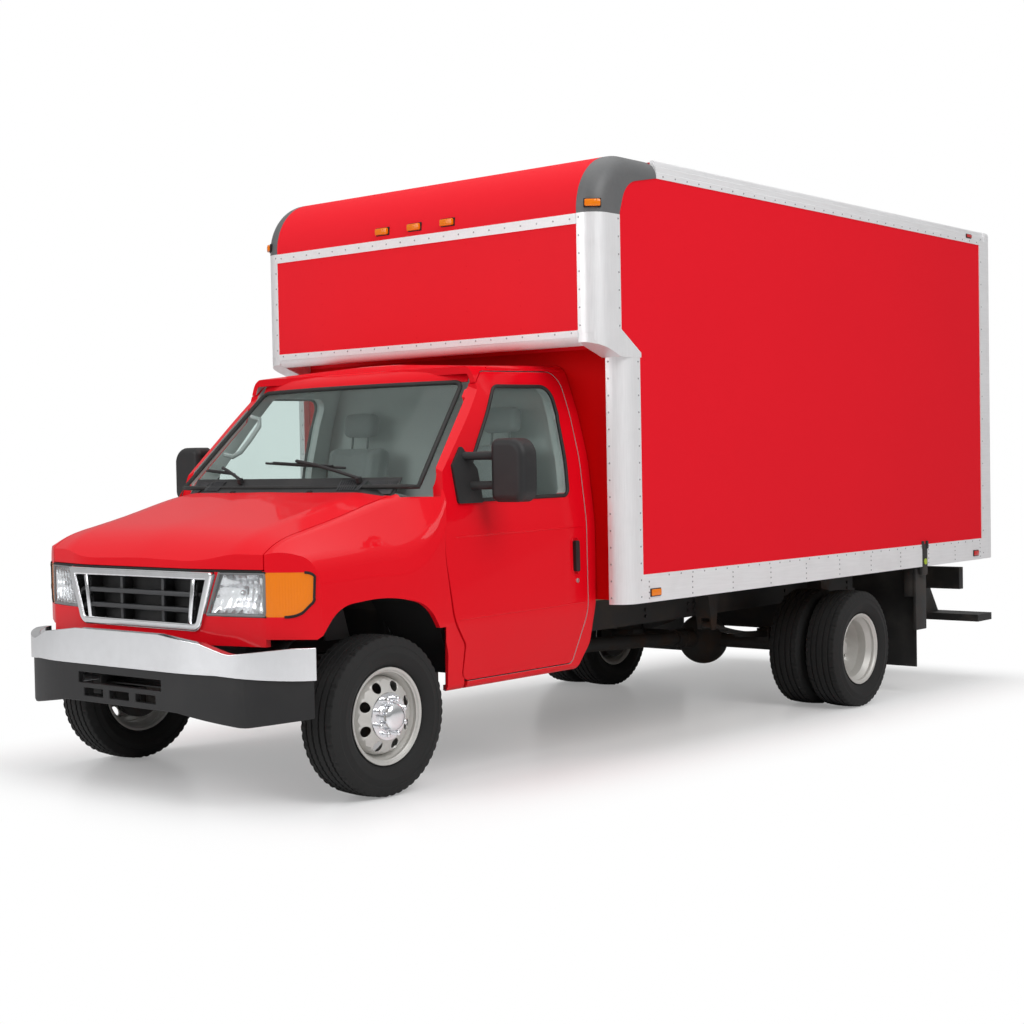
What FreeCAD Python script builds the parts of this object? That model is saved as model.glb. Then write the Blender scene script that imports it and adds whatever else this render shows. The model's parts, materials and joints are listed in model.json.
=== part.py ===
"""Box truck: a cutaway van cab with a closed cargo box, twin rear wheels and a rear step.

The truck is drawn level, in millimetres, with X = 0 at the front axle, +X forwards,
+Y to the driver's side and Z = 0 at the ground under the front wheels. The finished
shapes are then pitched about the front axle by the stance angle, because the truck
stands a little higher at the rear, and moved so that the origin is on the ground
under the middle of the truck.
"""
import FreeCAD, Part

import functools
import math
import os

# Stance and wheels
STANCE_DEG = 1.08
WHEELBASE = 4013.0
TYRE_RADIUS = 364.0
TYRE_WIDTH = 223.0
BEAD_RADIUS = 203.2
BEAD_HALF = 76.0
WIDEST_RADIUS = 300.0
TREAD_HALF = 86.0
FLANGE_RADIUS = 220.5
RIM_WALL = 6.0
FRONT_TYRE_Y = 881.0
REAR_OUTER_Y = 1080.0
REAR_INNER_Y = 820.0
LUG_CIRCLE = 82.55
LUG_COUNT = 8
LUG_RADIUS = 13.0
HAND_HOLES = 8
HAND_HOLE_RADIUS = 21.0
KINGPIN_Y = 700.0
SPINDLE_RADIUS = 30.0
RUN_GAP = 0.3

# Overall reaches from the front axle
NOSE_REACH = 747.0
TAIL_REACH = 6110.0

# Chassis rails
RAIL_OUT = 430.0
RAIL_FLANGE = 60.0
RAIL_WALL = 6.0
RAIL_DEPTH = 170.0
RAIL_TOP = 690.0
RAIL_DROP = 90.0
RAIL_FRONT_X = 560.0
RAIL_REAR_X = -5740.0
RAIL_STEP_X = -1500.0
RAIL_STEP_RUN = 330.0
TOW_X = -5650.0
TOW_Z = 605.0
TOW_SPACING = 80.0
TOW_HOLE = 7.0
CROSS_HEIGHT = 80.0
CROSS_WIDTH = 60.0
CROSS_WALL = 6.0

# Cab
CAB_HALF = 1007.0
CAB_REAR_X = -1510.0
CAB_SKIN = 30.0
PILLAR_WIDTH = 38.0
PILLAR_DEPTH = 51.0
PILLAR_FOOT = 1336.0
DOOR_THICK = 62.0
DOOR_GAP = 6.0
SHUT_GAP = 6.0
SILL_BOTTOM = 430.0
FLOOR_BOTTOM = 620.0
FLOOR_THICK = 20.0
ROOF_TOP = 2012.0
GLASS = 6.0
HOOD_SKIN = 25.0
HINGE_X = -378.0
HINGE_Y = 1005.0
HOOD_HINGE_X = -256.0
HOOD_HINGE_Z = 1334.0
HOOD_PIN = 5.0
HOOD_EAR = 11.0
HOOD_REAR_GAP = 10.0

# Cargo box
BOX_HALF = 1219.0
BOX_WALL = 38.0
BOX_SKIN = 26.0
BULKHEAD_X = -1515.0
SIDE_FRONT_X = -1630.0
SIDE_REAR_X = -5690.0
BOX_REAR_X = -5840.0
BOX_BOTTOM = 757.0
SILL_TOP = 902.0
SIDE_TOP = 2940.0
BOX_TOP = 3036.0
NOSE_X = -1273.0
NOSE_BOTTOM = 2066.0
NOSE_RADIUS = 300.0
EDGE_RADIUS = 100.0
POST_FACE = 121.0
CAP_BOTTOM = 2722.0
CAP_REAR_X = -1800.0

PLANES = {
    "XZ": (lambda a, b, off: FreeCAD.Vector(a, off, b), FreeCAD.Vector(0, 1, 0)),
    "YZ": (lambda a, b, off: FreeCAD.Vector(off, a, b), FreeCAD.Vector(1, 0, 0)),
    "XY": (lambda a, b, off: FreeCAD.Vector(a, b, off), FreeCAD.Vector(0, 0, 1)),
}


def vec(x, y, z):
    """A point or direction."""
    return FreeCAD.Vector(x, y, z)


def turned_run(points, radii, closed):
    """Edges through the points, with a tangent arc of the given radius at each one."""
    count = len(points)
    stations = []
    for i, (point, radius) in enumerate(zip(points, radii)):
        if radius == 0 or (not closed and i in (0, count - 1)):
            stations.append((point, None, point))
            continue
        back = (points[i - 1] - point).normalize()
        ahead = (points[(i + 1) % count] - point).normalize()
        half = back.getAngle(ahead) / 2
        cut = radius / math.tan(half)
        middle = (back + ahead).normalize() * (radius / math.sin(half) - radius)
        stations.append((point + back * cut, point + middle, point + ahead * cut))
    edges = []
    for i, (enter, middle, leave) in enumerate(stations):
        if middle is not None:
            edges.append(Part.Arc(enter, middle, leave).toShape())
        if i + 1 < count or closed:
            following = stations[(i + 1) % count][0]
            if (following - leave).Length > 1e-6:
                edges.append(Part.LineSegment(leave, following).toShape())
    return Part.Wire(edges)


def outline(plane, offset, corners):
    """Closed wire through corners (a, b) or (a, b, radius) on one plane."""
    place = PLANES[plane][0]
    points = [place(corner[0], corner[1], offset) for corner in corners]
    radii = [corner[2] if len(corner) > 2 else 0 for corner in corners]
    return turned_run(points, radii, True)


def slab(plane, low, high, corners):
    """Solid of the outline between two offsets along its plane's normal."""
    face = Part.Face(outline(plane, low, corners))
    return face.extrude(PLANES[plane][1] * (high - low))


def block(x0, x1, y0, y1, z0, z1):
    """Box between two corners."""
    return Part.makeBox(x1 - x0, y1 - y0, z1 - z0, vec(x0, y0, z0))


def rod(start, end, radius):
    """Round bar between two points."""
    return Part.makeCylinder(radius, (end - start).Length, start, end - start)


def disc_y(x, z, radius, y0, y1):
    """Cylinder along Y."""
    return Part.makeCylinder(radius, y1 - y0, vec(x, y0, z), vec(0, 1, 0))


def pipe(points, radii, radius, wall=0):
    """Round tube along straight runs and tangent arcs; solid when it has no wall."""
    path = turned_run(points, radii, False)
    along = (points[1] - points[0]).normalize()
    outer = Part.Wire(Part.makeCircle(radius, points[0], along))
    tube = path.makePipeShell([outer], True, False)
    if wall:
        inner = Part.Wire(Part.makeCircle(radius - wall, points[0], along))
        tube = tube.cut(path.makePipeShell([inner], True, False))
    return tube


def turned_y(x, z, corners):
    """Ring turned about the Y line through (x, z) from corners (radius, y, round)."""
    profile = [(x + corner[0],) + tuple(corner[1:]) for corner in corners]
    face = Part.Face(outline("XY", z, profile))
    return face.revolve(vec(x, 0, z), vec(0, 1, 0), 360)


def mirrored(shape):
    """The same shape on the other side of the truck."""
    return shape.mirror(vec(0, 0, 0), vec(0, 1, 0))


def both_sides(shape):
    """A shape and its mirror image, as separate solids of one piece."""
    return Part.makeCompound([shape, mirrored(shape)])


def joined(shapes):
    """One solid out of shapes that meet."""
    whole = shapes[0].multiFuse(shapes[1:]) if len(shapes) > 1 else shapes[0]
    return whole.removeSplitter()


def axle_place(x_back):
    """Height in the level drawing of a wheel centre that far behind the front axle."""
    return TYRE_RADIUS - x_back * math.sin(math.radians(STANCE_DEG))


REAR_X = -WHEELBASE * math.cos(math.radians(STANCE_DEG))
REAR_Z = axle_place(WHEELBASE)


def channel(half_flange, height, wall):
    """Corners of a channel section, open towards +X, centred on its own height."""
    low, high = -height / 2, height / 2
    return [
        (-half_flange, low), (half_flange, low), (half_flange, low + wall),
        (-half_flange + wall, low + wall), (-half_flange + wall, high - wall),
        (half_flange, high - wall), (half_flange, high), (-half_flange, high),
    ]


# Chassis

def rail_profile():
    """Side view of a rail, with the step up behind the cab."""
    low_top = RAIL_TOP - RAIL_DROP
    step_end = RAIL_STEP_X - RAIL_STEP_RUN
    return [
        (RAIL_FRONT_X, low_top), (RAIL_STEP_X, low_top, 200), (step_end, RAIL_TOP, 200),
        (RAIL_REAR_X, RAIL_TOP), (RAIL_REAR_X, RAIL_TOP - RAIL_DEPTH),
        (step_end, RAIL_TOP - RAIL_DEPTH, 200), (RAIL_STEP_X, low_top - RAIL_DEPTH, 200),
        (RAIL_FRONT_X, low_top - RAIL_DEPTH),
    ]


def frame_rails():
    """Two pressed channel rails, open towards each other."""
    inner_y = RAIL_OUT - RAIL_FLANGE
    rail = slab("XZ", inner_y, RAIL_OUT, rail_profile())
    hollow = outline("XZ", inner_y, rail_profile()).makeOffset2D(-RAIL_WALL)
    rail = rail.cut(Part.Face(hollow).extrude(vec(0, RAIL_FLANGE - RAIL_WALL, 0)))
    reach = TOW_SPACING / 2
    holes = [disc_y(TOW_X + a, TOW_Z + b, TOW_HOLE, RAIL_OUT - 20, RAIL_OUT + 10)
             for a in (-reach, reach) for b in (-reach, reach)]
    return both_sides(rail.cut(holes))


CROSS_PLACES = [(460, 515), (-1280, 553), (-1900, 605), (-2500, 605), (-3300, 605), (-4560, 605), (-5540, 605)]


def crossmembers():
    """Channels from web to web of the rails."""
    reach = RAIL_OUT - RAIL_WALL
    parts = []
    for x, z in CROSS_PLACES:
        corners = [(x + a, z + b) for a, b in channel(CROSS_WIDTH / 2, CROSS_HEIGHT, CROSS_WALL)]
        parts.append(slab("XZ", -reach, reach, corners))
    return Part.makeCompound(parts)


BEAM_LOW = 325.0
BOSS_PROUD = 35.0
ARM_FOOT_X = -900.0
SPRING_TURNS = 6
LEAF_Y = 495.0
LEAF_WIDTH = 64.0
LEAF_HALF = 690.0
LEAF_RISE = 110.0
LEAF_THICK = 13.0
AXLE_TUBE = 45.0
AXLE_END_Y = 738.0
DIFF_RADIUS = 165.0
REAR_SPINDLE = 38.0
REAR_SPINDLE_END = 1010.0
PINION = FreeCAD.Vector(REAR_X + 260, 0, REAR_Z + 30)
GEARBOX_END = FreeCAD.Vector(-1180, 0, 440)
ENGINE_FRONT_X = 330.0
ENGINE_REAR_X = -480.0
ENGINE_HALF = 255.0
ENGINE_LOW = 470.0
ENGINE_HIGH = 1040.0
EXHAUST_Y = -290.0
EXHAUST_RADIUS = 32.0
SILENCER_X0 = -2200.0
SILENCER_X1 = -2900.0
TANK_X0 = -5480.0
TANK_X1 = -4640.0
TANK_HALF = 350.0
TANK_LOW = 310.0
TANK_HIGH = 545.0
BEAM_HIGH = 395.0
BEAM_CROSS = 55.0
BEAM_HALF = 32.0
PIVOT_Y = 260.0
SPRING_Y = 535.0
SPRING_RADIUS = 62.0
TOWER_LOW = 545.0
BOSS_RADIUS = 38.0
FRONT_RAIL_BOTTOM = RAIL_TOP - RAIL_DROP - RAIL_DEPTH


def axle_beam(side):
    """One I-beam of the front axle, with its kingpin boss, pivot hanger and radius arm."""
    near, far = BEAM_CROSS - BEAM_HALF, BEAM_CROSS + BEAM_HALF
    plan = [
        (near, -PIVOT_Y - 40, 20), (far, -PIVOT_Y - 40, 20), (far, 380, 60), (BEAM_HALF, 640),
        (BEAM_HALF, KINGPIN_Y), (-BEAM_HALF, KINGPIN_Y), (-BEAM_HALF, 610, 40), (near, 400, 60),
    ]
    beam = slab("XY", BEAM_LOW, BEAM_HIGH, [(side * c[0], side * c[1]) + c[2:] for c in plan])
    groove = block(far - 20, far + 40, -PIVOT_Y + 30, 360, BEAM_LOW + 14, BEAM_HIGH - 14)
    hanger = block(near, far, -PIVOT_Y - 25, -PIVOT_Y + 25, BEAM_HIGH, FRONT_RAIL_BOTTOM)
    if side < 0:
        groove = groove.rotated(vec(0, 0, 0), vec(0, 0, 1), 180)
        hanger = hanger.rotated(vec(0, 0, 0), vec(0, 0, 1), 180)
    boss = Part.makeCylinder(BOSS_RADIUS, BEAM_HIGH - BEAM_LOW + 2 * BOSS_PROUD,
                             vec(0, side * KINGPIN_Y, BEAM_LOW - BOSS_PROUD))
    arm_y = RAIL_OUT - RAIL_FLANGE / 2
    arm = rod(vec(-20, side * 560, 360), vec(ARM_FOOT_X, side * arm_y, 385), 20)
    foot = block(ARM_FOOT_X - 30, ARM_FOOT_X + 30, arm_y - 25, arm_y + 25, 360, FRONT_RAIL_BOTTOM)
    if side < 0:
        foot = mirrored(foot)
    return joined([beam.cut(groove), boss, hanger, arm, foot])


def coil_spring():
    """Coil spring under its tower on the rail, as stacked turns round the damper."""
    pitch = (TOWER_LOW - BEAM_HIGH) / SPRING_TURNS
    corners = [(0, BEAM_HIGH)]
    for i in range(SPRING_TURNS):
        corners.append((SPRING_RADIUS - 14, BEAM_HIGH + i * pitch))
        corners.append((SPRING_RADIUS, BEAM_HIGH + (i + 0.5) * pitch))
    corners += [(SPRING_RADIUS - 14, TOWER_LOW), (0, TOWER_LOW)]
    profile = Part.Face(outline("XZ", 0, corners))
    spring = profile.revolve(vec(0, 0, 0), vec(0, 0, 1), 360)
    spring.translate(vec(0, SPRING_Y, 0))
    tower = slab("YZ", -75, 75, [
        (RAIL_OUT, TOWER_LOW), (SPRING_Y + 70, TOWER_LOW), (SPRING_Y + 70, TOWER_LOW + 12),
        (RAIL_OUT, RAIL_TOP - RAIL_DROP),
    ])
    return joined([spring, tower])


def front_axle():
    """Twin beams that cross under the engine, radius arms and coil springs."""
    reach = RAIL_OUT
    pivot_bar = block(-95, 95, -reach, reach, FRONT_RAIL_BOTTOM - 24, FRONT_RAIL_BOTTOM)
    parts = [axle_beam(1).cut(pivot_bar), axle_beam(-1).cut(pivot_bar), pivot_bar]
    return Part.makeCompound(parts + [both_sides(coil_spring())])


def leaf(half_length, low, thick, width_low, width_high):
    """One leaf, bowed upwards at its ends."""
    rise = LEAF_RISE * (half_length / LEAF_HALF) ** 2
    def arc(lift):
        return Part.Arc(vec(REAR_X - half_length, width_low, low + rise + lift),
                        vec(REAR_X, width_low, low + lift),
                        vec(REAR_X + half_length, width_low, low + rise + lift)).toShape()
    bottom, top = arc(0), arc(thick)
    ends = [Part.makeLine(bottom.Vertexes[0].Point, top.Vertexes[0].Point),
            Part.makeLine(bottom.Vertexes[-1].Point, top.Vertexes[-1].Point)]
    face = Part.Face(Part.Wire(Part.__sortEdges__([bottom, ends[1], top, ends[0]])))
    return face.extrude(vec(0, width_high - width_low, 0))


def leaf_spring():
    """Three leaves on the axle pad, with eye hangers out to the rail."""
    y0, y1 = LEAF_Y - LEAF_WIDTH / 2, LEAF_Y + LEAF_WIDTH / 2
    base = REAR_Z + AXLE_TUBE
    parts = []
    for i, half_length in enumerate((LEAF_HALF * 0.5, LEAF_HALF * 0.75, LEAF_HALF)):
        parts.append(leaf(half_length, base + i * LEAF_THICK - 0.5 * i, LEAF_THICK, y0, y1))
    clamp = block(REAR_X - 55, REAR_X + 55, y0 - 12, y1 + 12, base - 30, base + 3 * LEAF_THICK + 14)
    eye_z = base + LEAF_RISE + 2 * LEAF_THICK
    for end in (-LEAF_HALF, LEAF_HALF):
        x = REAR_X + end
        parts.append(disc_y(x, eye_z, 26, y0, y1))
        parts.append(slab("XZ", RAIL_OUT, y1 + 10, [
            (x - 22, eye_z - 34, 12), (x + 22, eye_z - 34, 12),
            (x + 60, RAIL_TOP - 40), (x - 60, RAIL_TOP - 40),
        ]).cut(block(x - 80, x + 80, y0 - RUN_GAP, y1 + RUN_GAP, 0, eye_z + 40)))
    return joined(parts + [clamp])


def pinion_nose():
    """Nose of the differential, out to the pinion flange."""
    return rod(vec(REAR_X, 0, REAR_Z), PINION, 62)


def rear_axle():
    """Housing with the differential, spindles, and leaf springs."""
    tube = disc_y(REAR_X, REAR_Z, AXLE_TUBE, -AXLE_END_Y, AXLE_END_Y)
    bowl = Part.makeSphere(DIFF_RADIUS, vec(REAR_X, 0, REAR_Z))
    spindle = disc_y(REAR_X, REAR_Z, REAR_SPINDLE, -REAR_SPINDLE_END, REAR_SPINDLE_END)
    plates = both_sides(disc_y(REAR_X, REAR_Z, 160, AXLE_END_Y - 8, AXLE_END_Y))
    springs = [leaf_spring(), mirrored(leaf_spring())]
    return joined([tube, bowl, pinion_nose(), spindle] + plates.Solids + springs)


def driveline():
    """Propeller shaft from the gearbox to the pinion, with its joint yokes."""
    along = (PINION - GEARBOX_END).normalize()
    shaft = rod(GEARBOX_END, PINION, 44)
    yokes = [rod(GEARBOX_END, GEARBOX_END + along * 90, 58), rod(PINION - along * 90, PINION, 58)]
    ahead = block(GEARBOX_END.x, GEARBOX_END.x + 50, -80, 80, 300, 560)
    return joined([shaft] + yokes).cut([ahead, pinion_nose()])


def powertrain():
    """Plain block for the engine with the gearbox behind it."""
    engine = block(ENGINE_REAR_X, ENGINE_FRONT_X, -ENGINE_HALF, ENGINE_HALF, ENGINE_LOW, ENGINE_HIGH)
    engine = engine.makeFillet(50, [e for e in engine.Edges if abs(e.tangentAt(0).x) > 0.9])
    gearbox = slab("XZ", -150, 150, [
        (ENGINE_REAR_X, 340), (ENGINE_REAR_X, 605), (GEARBOX_END.x, 520), (GEARBOX_END.x, 370),
    ])
    mounts = [block(-40, 60, -RAIL_OUT + RAIL_WALL, -ENGINE_HALF, 520, 570),
              block(-40, 60, ENGINE_HALF, RAIL_OUT - RAIL_WALL, 520, 570)]
    return joined([engine, gearbox] + mounts)


def exhaust():
    """Down pipe, silencer under the box and tail pipe to the right side."""
    y = EXHAUST_Y
    front = pipe([vec(ENGINE_REAR_X, -205, 500), vec(-560, -205, 500), vec(-740, y, 385),
                  vec(SILENCER_X0, y, 385)], [0, 90, 90, 0], EXHAUST_RADIUS)
    silencer = slab("YZ", SILENCER_X1, SILENCER_X0, [
        (y - 110, 310, 70), (y + 110, 310, 70), (y + 110, 460, 70), (y - 110, 460, 70)])
    tail = pipe([vec(SILENCER_X1, y, 385), vec(SILENCER_X1 - 230, y, 385),
                 vec(SILENCER_X1 - 330, -520, 385), vec(SILENCER_X1 - 430, -1080, 385)],
                [0, 110, 110, 0], EXHAUST_RADIUS)
    hooks = [block(x - 15, x + 15, -RAIL_OUT + 10, -RAIL_OUT + 40, 400, RAIL_TOP - RAIL_DEPTH)
             for x in (SILENCER_X0 - 60, SILENCER_X1 + 60)]
    arms = [block(x - 15, x + 15, -RAIL_OUT + 10, y - 60, 395, 420)
            for x in (SILENCER_X0 - 60, SILENCER_X1 + 60)]
    return joined([front, silencer, tail] + hooks + arms)


def fuel_tank():
    """Tank behind the rear axle, held by two straps under the rails."""
    tank = slab("YZ", TANK_X0, TANK_X1, [
        (-TANK_HALF, TANK_LOW, 60), (TANK_HALF, TANK_LOW, 60),
        (TANK_HALF, TANK_HIGH, 30), (-TANK_HALF, TANK_HIGH, 30)])
    rail_low = RAIL_TOP - RAIL_DEPTH
    straps = []
    for x in (TANK_X0 + 180, TANK_X1 - 180):
        outer = slab("YZ", x - 22, x + 22, [
            (-TANK_HALF - 6, TANK_LOW - 6, 64), (TANK_HALF + 6, TANK_LOW - 6, 64),
            (TANK_HALF + 6, rail_low - 6), (RAIL_OUT - 6, rail_low - 6), (RAIL_OUT - 6, rail_low),
            (-RAIL_OUT + 6, rail_low), (-RAIL_OUT + 6, rail_low - 6), (-TANK_HALF - 6, rail_low - 6),
        ])
        straps.append(outer)
    return joined([tank] + straps)


# Wheels

def tyre(x, y, z):
    """Tyre as a closed ring on its rim: bead, sidewalls, shoulders and tread."""
    half = TYRE_WIDTH / 2
    return turned_y(x, z, [
        (BEAD_RADIUS, y - BEAD_HALF), (WIDEST_RADIUS, y - half), (TYRE_RADIUS, y - TREAD_HALF),
        (TYRE_RADIUS, y + TREAD_HALF), (WIDEST_RADIUS, y + half), (BEAD_RADIUS, y + BEAD_HALF),
    ])


def rim(x, y, z):
    """Barrel of a wheel with bead seats, a dropped centre and flanges."""
    r, f, b, w = BEAD_RADIUS - RUN_GAP, FLANGE_RADIUS, BEAD_HALF, RIM_WALL
    out, drop = b + 10, r - 20
    shape = [(f, y - out), (r, y - b), (r, y - b + 22), (drop, y - 32), (drop, y + 24),
             (r, y + b - 22), (r, y + b), (f, y + out)]
    inner = [(f - w, y + out), (drop - w, y + 24), (drop - w, y - 32), (f - w, y - out)]
    return turned_y(x, z, shape + inner)


def wheel_disc(x, y, z, face):
    """Dished disc from the barrel to a flat mounting ring at the given offset from the wheel's middle."""
    side = 1 if face > 0 else -1
    r_barrel = BEAD_RADIUS - 20 - RIM_WALL + 1
    near, shoulder, flat = y + side * 8, y + 0.72 * face, y + face
    w = side * 8
    disc = turned_y(x, z, [
        (HUB_RADIUS, flat), (HUB_RING, flat), (HOLE_RADIUS, shoulder), (r_barrel, near),
        (r_barrel, near - w), (HOLE_RADIUS - 4, shoulder - w), (HUB_RING - 3, flat - w), (HUB_RADIUS, flat - w),
    ])
    holes = []
    for i in range(HAND_HOLES):
        angle = 2 * math.pi * (i + 0.5) / HAND_HOLES
        hx = x + HOLE_CENTRE * math.cos(angle)
        hz = z + HOLE_CENTRE * math.sin(angle)
        holes.append(disc_y(hx, hz, HAND_HOLE_RADIUS, y - 200, y + 200))
    return disc.cut(Part.makeCompound(holes))


def lugs(x, z, y0, y1):
    """Ring of wheel nuts."""
    nuts = []
    for i in range(LUG_COUNT):
        angle = 2 * math.pi * i / LUG_COUNT
        nuts.append(disc_y(x + LUG_CIRCLE * math.cos(angle), z + LUG_CIRCLE * math.sin(angle),
                           LUG_RADIUS, y0, y1))
    return nuts


HUB_RADIUS = 57.0
HUB_RING = 112.0
HOLE_RADIUS = 165.0
HOLE_CENTRE = 143.0
FRONT_FACE = 92.0
REAR_FACE = (REAR_OUTER_Y - REAR_INNER_Y) / 2
REAR_HUB_Y = (REAR_OUTER_Y + REAR_INNER_Y) / 2
SPINDLE_END = FRONT_TYRE_Y + 40
ROTOR_RADIUS = 150.0
CALIPER_REACH = 171.0
DRUM_RADIUS = 163.0


def front_wheel():
    """Left front wheel: barrel, disc, hub with its cap, brake rotor and nuts."""
    x, y, z = 0, FRONT_TYRE_Y, TYRE_RADIUS
    flat = y + FRONT_FACE
    hub = disc_y(x, z, HUB_RADIUS, y - 75, flat + 40)
    cap = disc_y(x, z, HUB_RADIUS - 12, flat + 40, flat + 60)
    flange = disc_y(x, z, HUB_RING - 8, flat - 22, flat - 8)
    rotor = disc_y(x, z, ROTOR_RADIUS, y - 75, y - 48)
    bore = disc_y(x, z, SPINDLE_RADIUS + RUN_GAP, y - 80, SPINDLE_END + 1)
    parts = [rim(x, y, z), wheel_disc(x, y, z, FRONT_FACE), hub, cap, flange, rotor]
    return joined(parts + lugs(x, z, flat - 4, flat + 24)).cut(bore)


def rear_wheels():
    """Left pair of rear wheels with the hub and brake drum between them."""
    x, z = REAR_X, REAR_Z
    hub = disc_y(x, z, HUB_RADIUS, AXLE_END_Y + 6, REAR_HUB_Y + 92)
    cap = disc_y(x, z, HUB_RADIUS - 14, REAR_HUB_Y + 92, REAR_HUB_Y + 104)
    drum = disc_y(x, z, DRUM_RADIUS, AXLE_END_Y + 6, REAR_HUB_Y - 18)
    flange = disc_y(x, z, HUB_RING - 8, REAR_HUB_Y - 18, REAR_HUB_Y - 8)
    bore = disc_y(x, z, REAR_SPINDLE + RUN_GAP, AXLE_END_Y, REAR_SPINDLE_END + 1)
    parts = [rim(x, REAR_OUTER_Y, z), wheel_disc(x, REAR_OUTER_Y, z, -REAR_FACE),
             rim(x, REAR_INNER_Y, z), wheel_disc(x, REAR_INNER_Y, z, REAR_FACE),
             hub, cap, drum, flange]
    return joined(parts + lugs(x, z, REAR_HUB_Y - 4, REAR_HUB_Y + 34)).cut(bore)


def knuckle():
    """Left steering knuckle: ears round the beam's boss, spindle, caliper and arm."""
    z = TYRE_RADIUS
    low, high = BEAM_LOW - BOSS_PROUD, BEAM_HIGH + BOSS_PROUD
    y_in, y_out = KINGPIN_Y + BOSS_RADIUS + 10, FRONT_TYRE_Y - 75 - 8
    post = block(-42, 42, y_in, y_out, low - 28, high + 28)
    ears = [block(-34, 34, KINGPIN_Y - 30, y_in, low - 28, low - RUN_GAP),
            block(-34, 34, KINGPIN_Y - 30, y_in, high + RUN_GAP, high + 28)]
    spindle = disc_y(0, z, SPINDLE_RADIUS, y_out, SPINDLE_END)
    caliper = slab("XZ", y_out - 24, FRONT_TYRE_Y - 30, [
        (-ROTOR_RADIUS - 30, z - 75, 20), (-ROTOR_RADIUS - 30, z + 75, 20),
        (-ROTOR_RADIUS + 45, z + 75, 10), (-ROTOR_RADIUS + 45, z - 75, 10)])
    caliper = caliper.common(disc_y(0, z, CALIPER_REACH, y_out - 30, FRONT_TYRE_Y))
    slot = disc_y(0, z, ROTOR_RADIUS + 6, FRONT_TYRE_Y - 81, FRONT_TYRE_Y - 29)
    bridge = block(-ROTOR_RADIUS + 20, -30, y_out - 24, y_out, z - 40, z + 40)
    arm = block(-150, -30, y_in - 20, y_in + 20, low - 26, low - 4)
    return joined([post] + ears + [spindle, caliper.cut(slot), bridge, arm])


# Cab volumes

def cab_section(x, taper):
    """Front view of the cab at one station: tumblehome under a slightly crowned roof."""
    side = [(985, SILL_BOTTOM, 30), (CAB_HALF, 745, 500), (1003 - taper / 4, 1180, 500),
            (965 - taper, 1500, 900), (905 - taper, 1735, 900), (815 - taper * 0.9, ROOF_TOP - 28 - taper * 0.6, 75)]
    left = [(-a, b, r) for a, b, r in side]
    return outline("YZ", x, side + [(0, ROOF_TOP + 4, 3000)] + left[::-1])


def grown(wire, inset):
    """The wire, moved inwards by the inset, or outwards when it is negative."""
    return wire.makeOffset2D(-inset) if inset else wire


@functools.lru_cache(maxsize=None)
def cab_body(inset):
    """Loft through the cab's sections."""
    return Part.makeLoft([grown(cab_section(*station), inset) for station in CAB_STATIONS], True, False)


@functools.lru_cache(maxsize=None)
def screen_volume(inset):
    """Everything behind the bowed, sloping surface of the windscreen."""
    back = CAB_REAR_X + inset
    middle = SCREEN_CENTRE_X + SCREEN_SLOPE * (SCREEN_Z - SCREEN_BASE) - inset * math.hypot(1, SCREEN_SLOPE)
    corners = [vec(x, y, SCREEN_BASE) for x, y in (
        (middle - SCREEN_BOW, 1100), (back, 1100), (back, -1100), (middle - SCREEN_BOW, -1100))]
    front = Part.Arc(corners[3], vec(middle, 0, SCREEN_BASE), corners[0]).toShape()
    plan = Part.Wire([front] + [Part.makeLine(corners[i], corners[i + 1]) for i in range(3)])
    leaning = Part.Face(plan).extrude(vec(-SCREEN_SLOPE, 0, 1) * SCREEN_RISE)
    behind = block(back - 900, back, -1200, 1200, 1200, 2300)
    tail = block(back, back + 700, -1200, 1200, SCREEN_BASE, 2200)
    return leaning.cut(behind).fuse(tail)


@functools.lru_cache(maxsize=None)
def cab_volume(inset):
    """Cab behind the front wings: windscreen slope, roof, sides and back."""
    back = CAB_REAR_X + inset
    lower = slab("XZ", -1200, 1200, [
        (-330 - inset, SILL_BOTTOM - 40), (-330 - inset, 1395), (back, 1395), (back, 1000),
        (back + 8, 762, 150), (back + 46, 558, 100), (back + 180, SILL_BOTTOM - 40)])
    header = slab("XZ", -1200, 1200, [
        (-100, 1280), (-760 - inset, 1952 - inset), (-990, ROOF_TOP - inset, 260),
        (-1300, ROOF_TOP + 6 - inset), (back, ROOF_TOP - inset), (back, 1280)])
    return lower.fuse(screen_volume(inset).common(header)).common(cab_body(inset))


CAB_STATIONS = [(-1800, 0), (-1450, 2), (-1000, 22), (-600, 44), (-200, 62)]
SCREEN_SLOPE = 1.008
SCREEN_Z = 1389.0
SCREEN_CENTRE_X = -222.0
SCREEN_BOW = 225.0
SCREEN_BASE = 1300.0
SCREEN_RISE = 800.0
SCREEN_FOOT_Z = 1372.0
SCREEN_FOOT_HALF = 866.0
SCREEN_HEAD_Z = 1905.0
SCREEN_SIDE_LEAN = 0.255

DOOR_OUTLINE = [
    (-505, 640, 40), (-425, 760, 200), (-377, 1080, 400), (-402, 1270, 200), (-452, 1500, 80),
    (-872, 1938, 50), (-1440, 1948, 90), (-1437, 720, 300), (-1318, 470, 40), (-485, 470, 40),
]
WINDOW_OUTLINE = [(-515, 1316, 20), (-930, 1866, 60), (-1345, 1872, 70), (-1318, 1318, 40)]


def nose_section(x, crown, seam, crease_y, crease_z, crease_round):
    """Front view of the bonnet and wings at one station."""
    side = [(985, SILL_BOTTOM, 30), (crease_y + 28, 745, 300), (crease_y + 22, crease_z - 90, 60),
            (crease_y, crease_z + 10, crease_round), (790, seam - 4, 90), (600, crown - 14, 500)]
    left = [(-a, b, r) for a, b, r in side]
    return outline("YZ", x, side + [(0, crown, 3000)] + left[::-1])


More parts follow.
